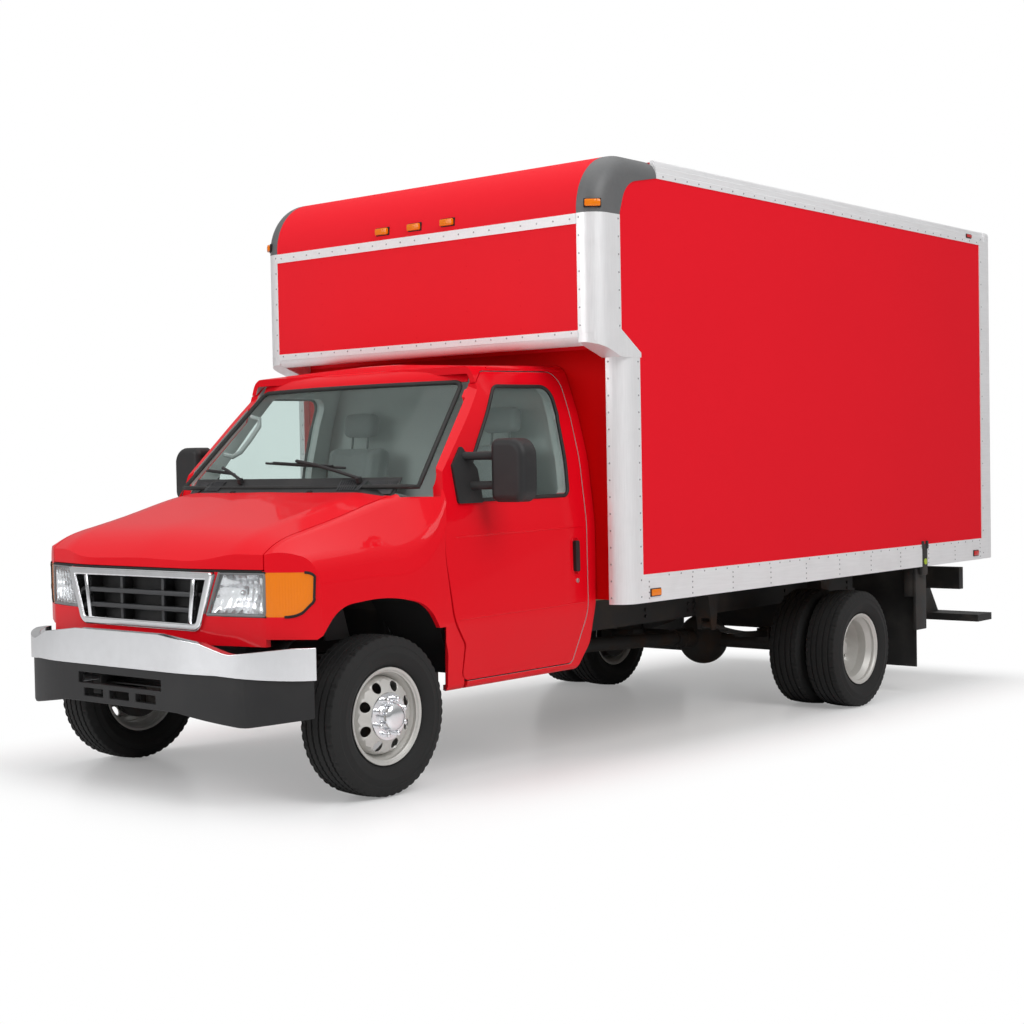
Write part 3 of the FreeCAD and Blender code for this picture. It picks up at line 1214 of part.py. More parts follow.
def rear_frame():
    """Frame of the rear doorway: posts, header and threshold."""
    outer = slab("YZ", BOX_REAR_X, SIDE_REAR_X, [
        (-BOX_HALF, BOX_BOTTOM, 10), (BOX_HALF, BOX_BOTTOM, 10), (BOX_HALF, BOX_TOP, 25),
        (-BOX_HALF, BOX_TOP, 25)])
    door_way = block(BOX_REAR_X - 1, SIDE_REAR_X + 1, -DOORWAY_HALF, DOORWAY_HALF, FLOOR_TOP, DOORWAY_TOP)
    seat = block(BOX_REAR_X + 60, SIDE_REAR_X + 1, -BOX_HALF + BOX_WALL, BOX_HALF - BOX_WALL,
                 BOX_BOTTOM - 1, FLOOR_TOP - DECK_THICK)
    head = block(BOX_REAR_X + 60, SIDE_REAR_X + 1, -BOX_HALF - 1, BOX_HALF + 1, SIDE_TOP, BOX_TOP + 1)
    frame = outer.cut([door_way, seat, head])
    return frame


DOORWAY_HALF = 1110.0
DOORWAY_TOP = 2860.0
DOOR_PANELS = 7


def rollup_door():
    """Closed roll-up door of hinged panels, resting on the threshold."""
    x0, x1 = BOX_REAR_X + 30, BOX_REAR_X + 56
    height = (DOORWAY_TOP - FLOOR_TOP) / DOOR_PANELS
    door_sheet = block(x0, x1, -DOORWAY_HALF, DOORWAY_HALF, FLOOR_TOP, DOORWAY_TOP)
    grooves = [block(x0 - 1, x0 + 5, -DOORWAY_HALF - 1, DOORWAY_HALF + 1, FLOOR_TOP + i * height - 4,
                     FLOOR_TOP + i * height + 4) for i in range(1, DOOR_PANELS)]
    latch = block(x0 - 22, x0, -60, 60, FLOOR_TOP + 120, FLOOR_TOP + 200)
    return joined([door_sheet.cut(grooves), latch])


STEP_TOP = 345.0
STEP_THICK = 50.0
STEP_HALF = 1098.0


def rear_step():
    """Rear step on brackets from a beam across the ends of the rails."""
    tread = block(-TAIL_REACH, -TAIL_REACH + 230, -STEP_HALF, STEP_HALF, STEP_TOP - STEP_THICK, STEP_TOP)
    beam_x = RAIL_REAR_X
    beam = block(beam_x - 60, beam_x, -1025, 1025, 535, RAIL_TOP)
    legs = [slab("XZ", y0, y0 + 14, [
        (beam_x, RAIL_TOP), (beam_x - 60, RAIL_TOP), (60 - TAIL_REACH, STEP_TOP),
        (60 - TAIL_REACH, STEP_TOP - STEP_THICK), (200 - TAIL_REACH, STEP_TOP - STEP_THICK),
        (beam_x, 560)]) for y0 in (-714, -314, 300, 700)]
    posts = [block(beam_x - 60, beam_x, y0, y0 + 60, RAIL_TOP, BOX_BOTTOM) for y0 in (600, -660)]
    return joined([tread, beam] + legs + posts)


FLAP_X = -4812.0


def mud_flaps():
    """Rubber flaps behind the twin wheels, on hangers from the deck."""
    flap = block(FLAP_X - 8, FLAP_X, 700, 1150, 90, 620)
    hanger = block(FLAP_X - 8, FLAP_X + 30, 700, 1150, 600, FLOOR_TOP - DECK_THICK)
    return both_sides(flap.fuse(hanger).removeSplitter())


def marker_lamps():
    """Marker lamps on the nose, the caps, the bottom rails and the rear corners."""
    lamps = []
    for y in (-240, 0, 240):
        lamps.append(block(NOSE_X - 4, NOSE_X + 22, y - 45, y + 45, 2748, 2784))
    for side in (1, -1):
        def pair(x0, x1, y0, y1, z0, z1):
            piece = block(x0, x1, y0, y1, z0, z1)
            return piece if side > 0 else mirrored(piece)
        lamps.append(pair(-1778, -1690, BOX_HALF, BOX_HALF + 12, 788, 824))
        lamps.append(pair(-5625, -5550, BOX_HALF, BOX_HALF + 12, 786, 822))
        lamps.append(pair(-5570, -5495, BOX_HALF - 5, BOX_HALF + 8, 2978, 2998))
    return Part.makeCompound([lamp.cut(nose_block(0)) for lamp in lamps])


# Assembly

def sub_parts():
    """Every piece by its node name, in the level drawing."""
    left_wheel = front_wheel()
    rear_left = rear_wheels()
    rear_tyres = Part.makeCompound([tyre(REAR_X, REAR_OUTER_Y, REAR_Z), tyre(REAR_X, REAR_INNER_Y, REAR_Z)])
    front_tyre = tyre(0, FRONT_TYRE_Y, TYRE_RADIUS)
    left_knuckle = knuckle()
    left_door, left_glass, left_fittings = door(), door_glass(), door_fittings()
    return {
        "frame_rails": frame_rails(),
        "crossmembers": crossmembers(),
        "front_axle": front_axle(),
        "rear_axle": rear_axle(),
        "driveline": driveline(),
        "powertrain": powertrain(),
        "exhaust": exhaust(),
        "fuel_tank": fuel_tank(),
        "cab_floor": cab_floor(),
        "cab_shell": cab_shell(),
        "fenders": fenders(),
        "wheel_houses": wheel_houses(),
        "front_panel": front_panel(),
        "cowl": cowl(),
        "windshield": windshield(),
        "grille_surround": grille_surround(),
        "grille_insert": grille_insert(),
        "headlights": headlights(),
        "turn_lamps": turn_lamps(),
        "front_bumper": front_bumper(),
        "front_valance": front_valance(),
        "dashboard": dashboard(),
        "steering_wheel": steering_wheel(),
        "seats": seats(),
        "cargo_floor": cargo_floor(),
        "side_walls": side_walls(),
        "box_front": box_front(),
        "box_roof": box_roof(),
        "corner_posts": corner_posts(),
        "nose_trim": nose_trim(),
        "bottom_rails": bottom_rails(),
        "roof_rails": roof_rails(),
        "corner_caps": corner_caps(),
        "rear_frame": rear_frame(),
        "rollup_door": rollup_door(),
        "rear_step": rear_step(),
        "mud_flaps": mud_flaps(),
        "marker_lamps": marker_lamps(),
        "hood": hood(),
        "door_left": left_door,
        "door_right": mirrored(left_door),
        "door_glass_left": left_glass,
        "door_glass_right": mirrored(left_glass),
        "door_fittings_left": left_fittings,
        "door_fittings_right": mirrored(left_fittings),
        "knuckle_left": left_knuckle,
        "knuckle_right": mirrored(left_knuckle),
        "wheel_front_left": left_wheel,
        "wheel_front_right": mirrored(left_wheel),
        "tyre_front_left": front_tyre,
        "tyre_front_right": mirrored(front_tyre),
        "wheels_rear_left": rear_left,
        "wheels_rear_right": mirrored(rear_left),
        "tyres_rear_left": rear_tyres,
        "tyres_rear_right": mirrored(rear_tyres),
    }


def stance(shape):
    """The piece pitched about the front axle line and moved to the truck's own origin."""
    placed = shape.rotated(vec(0, 0, TYRE_RADIUS), vec(0, 1, 0), STANCE_DEG)
    return placed.translated(vec(ORIGIN_SHIFT, 0, 0))


ORIGIN_SHIFT = (TAIL_REACH - NOSE_REACH) / 2


def main():
    """Write one file per piece."""
    os.makedirs("parts", exist_ok=True)
    for name, shape in sub_parts().items():
        stance(shape).exportStep("parts/" + name + ".step")


if __name__ == "__main__":
    main()
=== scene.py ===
"""Looks of the box truck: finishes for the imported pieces, and the detailed forms that dress them.

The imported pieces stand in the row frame, in metres. New forms are drawn in the truck's own
level frame, also in metres: X = 0 at the front axle, +X forwards, +Y to the driver's side and
Z = 0 on the ground under the front wheels. Each finished mesh is then pitched by the stance,
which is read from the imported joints, so that it lands on the piece that carries it.
"""
from __future__ import annotations

import json
import logging
import math
from dataclasses import dataclass
from enum import Enum
from typing import Callable, Iterable, Sequence

import bmesh
import bpy
import numpy as np
from mathutils import Matrix, Vector
from mathutils.bvhtree import BVHTree

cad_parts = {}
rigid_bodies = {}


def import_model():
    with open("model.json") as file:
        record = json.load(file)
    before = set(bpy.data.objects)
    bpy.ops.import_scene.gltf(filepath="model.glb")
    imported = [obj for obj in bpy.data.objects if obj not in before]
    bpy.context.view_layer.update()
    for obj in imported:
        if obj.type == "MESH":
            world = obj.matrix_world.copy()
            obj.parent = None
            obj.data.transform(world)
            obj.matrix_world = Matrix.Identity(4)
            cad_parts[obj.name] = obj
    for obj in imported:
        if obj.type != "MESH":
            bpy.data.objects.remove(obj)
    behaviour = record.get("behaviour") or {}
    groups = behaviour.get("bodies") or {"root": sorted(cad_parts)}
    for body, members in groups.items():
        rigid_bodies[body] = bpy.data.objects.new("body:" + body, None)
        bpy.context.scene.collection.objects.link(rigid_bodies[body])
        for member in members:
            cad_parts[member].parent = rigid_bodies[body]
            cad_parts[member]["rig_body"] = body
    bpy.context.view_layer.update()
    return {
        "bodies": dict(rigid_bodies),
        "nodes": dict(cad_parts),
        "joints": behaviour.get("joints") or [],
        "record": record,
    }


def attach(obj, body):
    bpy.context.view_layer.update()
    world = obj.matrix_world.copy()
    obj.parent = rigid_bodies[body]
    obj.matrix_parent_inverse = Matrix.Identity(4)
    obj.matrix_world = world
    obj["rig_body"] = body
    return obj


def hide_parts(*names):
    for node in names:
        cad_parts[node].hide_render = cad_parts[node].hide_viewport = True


LOG = logging.getLogger("box_truck")
LEFT, RIGHT = 1, -1
SIDES = {LEFT: "left", RIGHT: "right"}
Colour = tuple[float, float, float]
Size = tuple[float, float, float]
Block = tuple[Size, Size]
Corner = tuple[float, ...]
Outline = tuple[tuple[float, float], ...]


class Axis(Enum):
    """Direction that a flat outline is pushed along, or that a turned form turns about."""

    X = Vector((1, 0, 0))
    Y = Vector((0, 1, 0))
    Z = Vector((0, 0, 1))


# Shader arithmetic

class Tone:
    """A number or colour that leaves a node, usable in Python arithmetic."""

    def __init__(self, graph: Graph, socket: bpy.types.NodeSocket) -> None:
        """Keep the graph and the socket."""
        self.graph = graph
        self.socket = socket

    def __add__(self, other: Tone | float) -> Tone:
        """Sum."""
        return self.graph.maths("ADD", self, other)

    def __sub__(self, other: Tone | float) -> Tone:
        """Difference."""
        return self.graph.maths("SUBTRACT", self, other)

    def __rsub__(self, other: float) -> Tone:
        """Difference from a plain number."""
        return self.graph.maths("SUBTRACT", other, self)

    def __mul__(self, other: Tone | float) -> Tone:
        """Product."""
        return self.graph.maths("MULTIPLY", self, other)

    def __truediv__(self, other: Tone | float) -> Tone:
        """Quotient."""
        return self.graph.maths("DIVIDE", self, other)

    __radd__ = __add__
    __rmul__ = __mul__


class Graph:
    """Node tree of one material, or of the world."""

    def __init__(self, owner: bpy.types.Material | bpy.types.World) -> None:
        """Start with no nodes.

        Args:
            owner: The material or the world.
        """
        self.owner = owner
        owner.use_nodes = True
        self.tree = owner.node_tree
        self.tree.nodes.clear()

    def add(self, kind: str, settings: dict | None = None, inputs: dict | None = None,
            out: int | str = 0) -> Tone:
        """Make one node.

        Args:
            kind: The node's type name without its ShaderNode prefix.
            settings: Attributes to set first; "stops" gives a ramp's positions and colours.
            inputs: Values or tones by socket name or number.
            out: Output socket to hand back.

        Returns:
            The output socket as a tone.
        """
        node = self.tree.nodes.new("ShaderNode" + kind)
        for key, value in (settings or {}).items():
            if key == "stops":
                for stop, (place, colour) in zip(node.color_ramp.elements, value):
                    stop.position = place
                    stop.color = (*colour, 1)
            else:
                setattr(node, key, value)
        for key, value in (inputs or {}).items():
            socket = node.inputs[key]
            if isinstance(value, Tone):
                self.tree.links.new(value.socket, socket)
            else:
                socket.default_value = (*value, 1) if socket.type == "RGBA" and len(value) == 3 else value
        return Tone(self, node.outputs[out]) if node.outputs else Tone(self, None)

    def maths(self, operation: str, first: Tone | float, second: Tone | float = 0.0) -> Tone:
        """Math node on two numbers."""
        return self.add("Math", {"operation": operation}, {0: first, 1: second})

    def within(self, value: Tone, low: float, high: float) -> Tone:
        """Smooth step from zero at low to one at high."""
        return self.add("MapRange", {"interpolation_type": "SMOOTHSTEP"},
                        {"Value": value, "From Min": low, "From Max": high})

    def parts(self, kind: str = "Object") -> tuple[Tone, Tone, Tone]:
        """The three coordinates of a kind as numbers."""
        split = self.add("SeparateXYZ", inputs={"Vector": self.add("TexCoord", out=kind)})
        return tuple(Tone(self, socket) for socket in split.socket.node.outputs)

    def noise(self, size: float, detail: float = 3, stretch: Sequence[float] = (1, 1, 1)) -> Tone:
        """Noise on Object coordinates.

        Args:
            size: Size of its features, in metres.
            detail: How fine it goes.
            stretch: Factors that squeeze it along X, Y and Z.

        Returns:
            The noise, from 0 to 1.
        """
        scale = [factor / size for factor in stretch]
        place = self.add("Mapping", inputs={"Vector": self.add("TexCoord", out="Object"), "Scale": scale})
        return self.add("TexNoise", inputs={"Vector": place, "Scale": 1.0, "Detail": detail})

    def blend(self, factor: Tone | float, first: Tone | Colour, second: Tone | Colour) -> Tone:
        """Mix of two colours."""
        return self.add("Mix", {"data_type": "RGBA"}, {0: factor, 6: first, 7: second}, 2)

    def relief(self, height: Tone, depth: float, strength: float = 1.0) -> Tone:
        """Bump of the given depth in metres."""
        return self.add("Bump", inputs={"Height": height, "Distance": depth, "Strength": strength})

    def close(self, **sockets: Tone | float | Sequence[float]) -> bpy.types.Material:
        """Finish with one surface shader.

        Args:
            sockets: Values for its sockets, with underscores for the spaces in their names.

        Returns:
            The material.
        """
        inputs = {key.replace("_", " "): value for key, value in sockets.items()}
        surface = self.add("BsdfPrincipled", inputs=inputs)
        self.add("OutputMaterial", inputs={"Surface": surface})
        return self.owner


# Finishes

@dataclass(frozen=True)
class Finish:
    """A surface finish, made into one material the first time that it is used."""

    name: str
    colour: Colour

    def material(self) -> bpy.types.Material:
        """Return the finish's material, making it if need be."""
        name = "look_" + self.name
        return bpy.data.materials.get(name) or self.make(Graph(bpy.data.materials.new(name)))

    def make(self, g: Graph) -> bpy.types.Material:
        """Build the material in the graph."""
        raise NotImplementedError


def darker(colour: Colour, share: float) -> Colour:
    """A colour cut to a share of itself."""
    return tuple(part * share for part in colour)


@dataclass(frozen=True)
class Paint(Finish):
    """Body paint under clear lacquer, with road film near the ground, and a lining on its inner faces; where
    a darker red is given, it is painted as shade on the faces below a height.
    """

    gloss: float = 0.35
    lacquer: float = 0.28
    specular: float = 0.05
    film: float = 0.08
    film_colour: Colour = (0.16, 0.13, 0.11)
    film_top: float = 1.0
    film_full: float = 0.35
    painted_shade: Colour | None = None
    painted_shade_top: float = 2.088
    inner: Colour | None = None
    inner_rough: float = 0.75
    heart: Size = (0, 0, 0)
    heart_weights: Size = (0.6, 1.0, 1.0)

    def make(self, g: Graph) -> bpy.types.Material:
        """Build the paint.

        Args:
            g: Node tree that it is built in.

        Returns:
            The finished material.
        """
        _, _, up = g.parts()
        patches = g.noise(0.7, 4)
        low = 1 - g.within(up, self.film_full, self.film_top)
        film = low * patches * self.film
        tint = g.blend(patches, darker(self.colour, 0.96), self.colour)
        # Below the height, a darker red is painted as shade on the faces there.
        if self.painted_shade:
            tint = g.blend(g.within(up, self.painted_shade_top, self.painted_shade_top + 0.006), self.painted_shade, tint)
        colour = g.blend(film, tint, self.film_colour)
        rough = film * 1.6 + self.gloss
        coat = 1.0
        if self.inner:
            within = self.facing(g)
            colour = g.blend(within, colour, self.inner)
            rough = g.maths("MAXIMUM", rough, within * self.inner_rough)
            coat = 1 - within
        return g.close(Base_Color=colour, Roughness=rough, Coat_Weight=coat * self.lacquer,
                       Coat_Roughness=0.04, Specular_IOR_Level=self.specular)

    def facing(self, g: Graph) -> Tone:
        """One where a face looks towards the heart of the cab, else zero.

        Args:
            g: Node tree that it is built in.

        Returns:
            The mask.
        """
        place, normal = g.add("TexCoord", out="Object"), g.add("TexCoord", out="Normal")
        inwards = g.add("VectorMath", {"operation": "SUBTRACT"}, {0: self.heart, 1: place})
        inwards = g.add("VectorMath", {"operation": "MULTIPLY"}, {0: inwards, 1: self.heart_weights})
        inwards = g.add("VectorMath", {"operation": "NORMALIZE"}, {0: inwards})
        along = g.add("VectorMath", {"operation": "DOT_PRODUCT"}, {0: normal, 1: inwards}, "Value")
        return g.within(along, 0.10, 0.16)


@dataclass(frozen=True)
class Metal(Finish):
    """Bare, brushed, plated or cast metal."""

    rough: float = 0.3
    grain: Sequence[float] = (1, 1, 1)
    grain_size: float = 0.01
    depth: float = 0.0002
    stain: Colour = (0.20, 0.18, 0.16)
    stained: float = 0.15
    metallic: float = 1.0

    def make(self, g: Graph) -> bpy.types.Material:
        """Build the metal.

        Args:
            g: Node tree that it is built in.

        Returns:
            The finished material.
        """
        grain = g.noise(self.grain_size, 3, self.grain)
        patches = g.within(g.noise(0.16, 5), 0.45, 0.75)
        colour = g.blend(grain, darker(self.colour, 0.86), self.colour)
        colour = g.blend(patches * self.stained, colour, self.stain)
        rough = grain * 0.16 + patches * self.stained * 0.8 + self.rough
        return g.close(Base_Color=colour, Metallic=self.metallic, Roughness=rough,
                       Normal=g.relief(grain, self.depth))


@dataclass(frozen=True)
class Moulded(Finish):
    """Moulded plastic or rubber with a fine grain, dusty in patches."""

    rough: float = 0.55
    grain_size: float = 0.003
    depth: float = 0.0003
    dust: float = 0.10
    dust_colour: Colour = (0.32, 0.29, 0.26)

    def make(self, g: Graph) -> bpy.types.Material:
        """Build the plastic.

        Args:
            g: Node tree that it is built in.

        Returns:
            The finished material.
        """
        grain = g.noise(self.grain_size, 2)
        patches = g.within(g.noise(0.2, 5), 0.4, 0.8)
        colour = g.blend(grain, darker(self.colour, 0.8), self.colour)
        colour = g.blend(patches * self.dust, colour, self.dust_colour)
        return g.close(Base_Color=colour, Roughness=grain * 0.1 + patches * self.dust + self.rough,
                       Normal=g.relief(grain, self.depth))


@dataclass(frozen=True)
class Lens(Finish):
    """Clear or coloured lens, faintly fluted, with a painted glow of its own colour where glow is set."""

    clear: float = 0.9
    rough: float = 0.04
    flute: float = 90.0
    glow: float = 0.0
    coat: float = 0.6

    def make(self, g: Graph) -> bpy.types.Material:
        """Build the lens.

        Args:
            g: Node tree that it is built in.

        Returns:
            The finished material.
        """
        _, across, _ = g.parts()
        wave = g.maths("SINE", across * (self.flute * math.tau))
        return g.close(Base_Color=self.colour, Roughness=self.rough, IOR=1.45, Coat_Weight=self.coat,
                       Transmission_Weight=self.clear, Emission_Color=self.colour,
                       Emission_Strength=self.glow, Normal=g.relief(wave, 0.0004, 0.4))


@dataclass(frozen=True)
class Glass(Finish):
    """Thin tinted glass that light passes straight through, with a glossy face."""

    see_through: float = 0.9
    tint: Colour = (0.90, 0.95, 0.94)

    def make(self, g: Graph) -> bpy.types.Material:
        """Build the glass as a mix of clear tint and gloss.

        Args:
            g: Node tree that it is built in.

        Returns:
            The finished material.
        """
        haze = g.within(g.noise(0.35, 4), 0.45, 0.9)
        gloss = g.add("BsdfPrincipled", inputs={
            "Base Color": self.colour, "Roughness": haze * 0.06 + 0.02, "Coat Weight": 1.0})
        tint = g.add("BsdfTransparent", inputs={"Color": self.tint})
        mixed = g.add("MixShader", inputs={0: self.see_through - haze * 0.03, 1: gloss, 2: tint})
        g.add("OutputMaterial", inputs={"Surface": mixed})
        return g.owner


@dataclass(frozen=True)
class Cloth(Finish):
    """Woven seat cloth."""

    thread: float = 0.0022

    def make(self, g: Graph) -> bpy.types.Material:
        """Build the cloth from two crossing waves.

        Args:
            g: Node tree that it is built in.

        Returns:
            The finished material.
        """
        x, y, z = g.parts()
        warp = g.maths("SINE", y * (math.tau / self.thread))
        weft = g.maths("SINE", (x + z) * (math.tau / self.thread))
        weave = warp * weft * 0.5 + 0.5
        fade = g.noise(0.12, 4)
        colour = g.blend(weave * 0.4 + fade * 0.4, darker(self.colour, 0.7), self.colour)
        return g.close(Base_Color=colour, Roughness=0.92, Sheen_Weight=0.3, Normal=g.relief(weave, 0.0006))


@dataclass(frozen=True)
class Timber(Finish):
    """Laminated hardwood deck boards with worn joints."""

    board: float = 0.11
    joint: Colour = (0.05, 0.035, 0.02)

    def make(self, g: Graph) -> bpy.types.Material:
        """Build the boards along the truck.

        Args:
            g: Node tree that it is built in.

        Returns:
            The finished material.
        """
        _, across, _ = g.parts()
        lane = g.maths("FRACT", across / self.board)
        joint = g.within(g.maths("ABSOLUTE", lane - 0.5), 0.47, 0.5)
        grain = g.noise(0.03, 6, (0.06, 1, 1))
        colour = g.blend(joint, g.blend(grain, darker(self.colour, 0.55), self.colour), self.joint)
        return g.close(Base_Color=colour, Roughness=grain * 0.2 + 0.5, Normal=g.relief(grain - joint, 0.001))


CAB_RED = Paint("cab_red", (0.790, 0.003, 0.012))
LINED_RED = Paint("lined_red", (0.790, 0.003, 0.012), inner=(0.62, 0.64, 0.63), heart=(1.73, 0.0, 1.32))
BOX_RED = Paint("box_red", (0.800, 0.010, 0.022), gloss=0.6, lacquer=0.0, specular=0.06, film=0.04)
# Box red painted lighter for the nose, a painted light; below its height the bulkhead and the overhang's
# underside take a darker red as painted shade.
NOSE_RED = Paint("nose_red", (0.860, 0.018, 0.030), gloss=0.6, lacquer=0.0, specular=0.06, film=0.0,
                 painted_shade=(0.600, 0.001, 0.002))
# Near-black: the colour of black parts, and also painted shade where it stands for the dark in gaps, openings
# and wheel arches.
BLACK_AND_GAP_SHADE = Moulded("dark_gap", (0.006, 0.006, 0.006), rough=0.7, dust=0.0)
WHITE_RAIL = Metal("white_rail", (0.90, 0.90, 0.91), rough=0.38, grain=(0.05, 1, 1), stained=0.06,
                   metallic=0.25)
POST_METAL = Metal("post_metal", (0.93, 0.93, 0.94), rough=0.30, grain=(1, 1, 0.04), grain_size=0.006,
                   stained=0.05, metallic=0.35)
RIVET_METAL = Metal("rivet_metal", (0.40, 0.40, 0.41), rough=0.35, stained=0.2)
CHROME = Metal("chrome", (0.92, 0.93, 0.95), rough=0.05, depth=0.0, stained=0.02, grain_size=0.05)
WHEEL_STEEL = Metal("wheel_steel", (0.66, 0.65, 0.62), rough=0.36, stain=(0.34, 0.30, 0.25), stained=0.20,
                    metallic=0.35, depth=0.0001)
HUB_STEEL = Metal("hub_steel", (0.80, 0.80, 0.80), rough=0.18, stained=0.12)
CHASSIS_BLACK = Metal("chassis_black", (0.018, 0.018, 0.018), rough=0.5, metallic=0.0,
                      stain=(0.11, 0.09, 0.075), stained=0.4, depth=0.0004)
AXLE_IRON = Metal("axle_iron", (0.05, 0.048, 0.046), rough=0.6, metallic=0.3, stain=(0.13, 0.07, 0.04),
                  stained=0.5, depth=0.001)
EXHAUST_STEEL = Metal("exhaust_steel", (0.30, 0.27, 0.24), rough=0.45, stain=(0.20, 0.10, 0.05), stained=0.6)
DOOR_ALUMINIUM = Metal("door_aluminium", (0.84, 0.85, 0.86), rough=0.38, grain=(1, 0.05, 1), stained=0.05,
                       metallic=0.3)
BLACK_PLASTIC = Moulded("black_plastic", (0.010, 0.010, 0.011), rough=0.5, dust=0.05)
VALANCE_GREY = Moulded("valance_grey", (0.010, 0.010, 0.011), rough=0.48, dust=0.02)
CABIN_GREY = Moulded("cabin_grey", (0.22, 0.225, 0.225), rough=0.6, dust=0.0)
CABIN_PALE = Moulded("cabin_pale", (0.50, 0.51, 0.51), rough=0.7, dust=0.0)
CAP_GREY = Moulded("cap_grey", (0.130, 0.133, 0.136), rough=0.40, grain_size=0.02, depth=0.0001, dust=0.06)
TYRE_RUBBER = Moulded("tyre_rubber", (0.012, 0.012, 0.012), rough=0.75, dust=0.14,
                      dust_colour=(0.05, 0.048, 0.045))
FLAP_RUBBER = Moulded("flap_rubber", (0.014, 0.014, 0.014), rough=0.65)
SEAL_RUBBER = Moulded("seal_rubber", (0.010, 0.010, 0.010), rough=0.55, dust=0.04)
LAMP_CLEAR = Lens("lamp_clear", (0.92, 0.94, 0.96))
# The amber and red lenses glow faintly: painted light, as their lamps are not lit.
LAMP_AMBER = Lens("lamp_amber", (0.90, 0.22, 0.0), clear=0.10, glow=0.06, coat=0.1)
LAMP_RED = Lens("lamp_red", (0.75, 0.01, 0.01), clear=0.3, glow=0.08)
REFLECTOR = Metal("reflector", (0.88, 0.89, 0.90), rough=0.12, depth=0.0006, stained=0.0)
WINDOW_GLASS = Glass("window_glass", (0.30, 0.36, 0.34), see_through=0.92)
SCREEN_GLASS = Glass("screen_glass", (0.30, 0.36, 0.34), see_through=0.93, tint=(0.93, 0.97, 0.96))
SEAT_CLOTH = Cloth("seat_cloth", (0.40, 0.41, 0.41))
DECK_WOOD = Timber("deck_wood", (0.42, 0.27, 0.13))
GRILLE_GREY = Moulded("grille_grey", (0.040, 0.042, 0.046), rough=0.42, dust=0.04)
BEZEL_GREY = Moulded("bezel_grey", (0.22, 0.225, 0.23), rough=0.45, dust=0.0)
MIRROR_FACE = Metal("mirror_face", (0.86, 0.88, 0.89), rough=0.03, depth=0.00002, stained=0.0)
YELLOW_GREEN = Moulded("yellow_green", (0.45, 0.60, 0.03), rough=0.4, dust=0.0)


# Forms

def spot(x: float, y: float, z: float) -> Vector:
    """A point in the level frame."""
    return Vector((x, y, z))


def rounded(corners: Iterable[Corner], steps: int = 6) -> list[tuple[float, float]]:
    """Points of a closed outline.

    Args:
        corners: Corners (a, b) or (a, b, radius).
        steps: Spans on each rounded corner.

    Returns:
        The outline's points in order.
    """
    corners = list(corners)
    points = []
    for i, corner in enumerate(corners):
        here = Vector(corner[:2])
        radius = corner[2] if len(corner) > 2 else 0
        if not radius:
            points.append(tuple(here))
            continue
        back = (Vector(corners[i - 1][:2]) - here).normalized()
        ahead = (Vector(corners[(i + 1) % len(corners)][:2]) - here).normalized()
        half = back.angle(ahead) / 2
        centre = here + (back + ahead).normalized() * (radius / math.sin(half))
        start = here + back * (radius / math.tan(half)) - centre
        end = here + ahead * (radius / math.tan(half)) - centre
        turn = start.angle_signed(end)
        for k in range(steps + 1):
            arm = start.copy()
            arm.rotate(Matrix.Rotation(-turn * k / steps, 2))
            points.append(tuple(centre + arm))
    return points


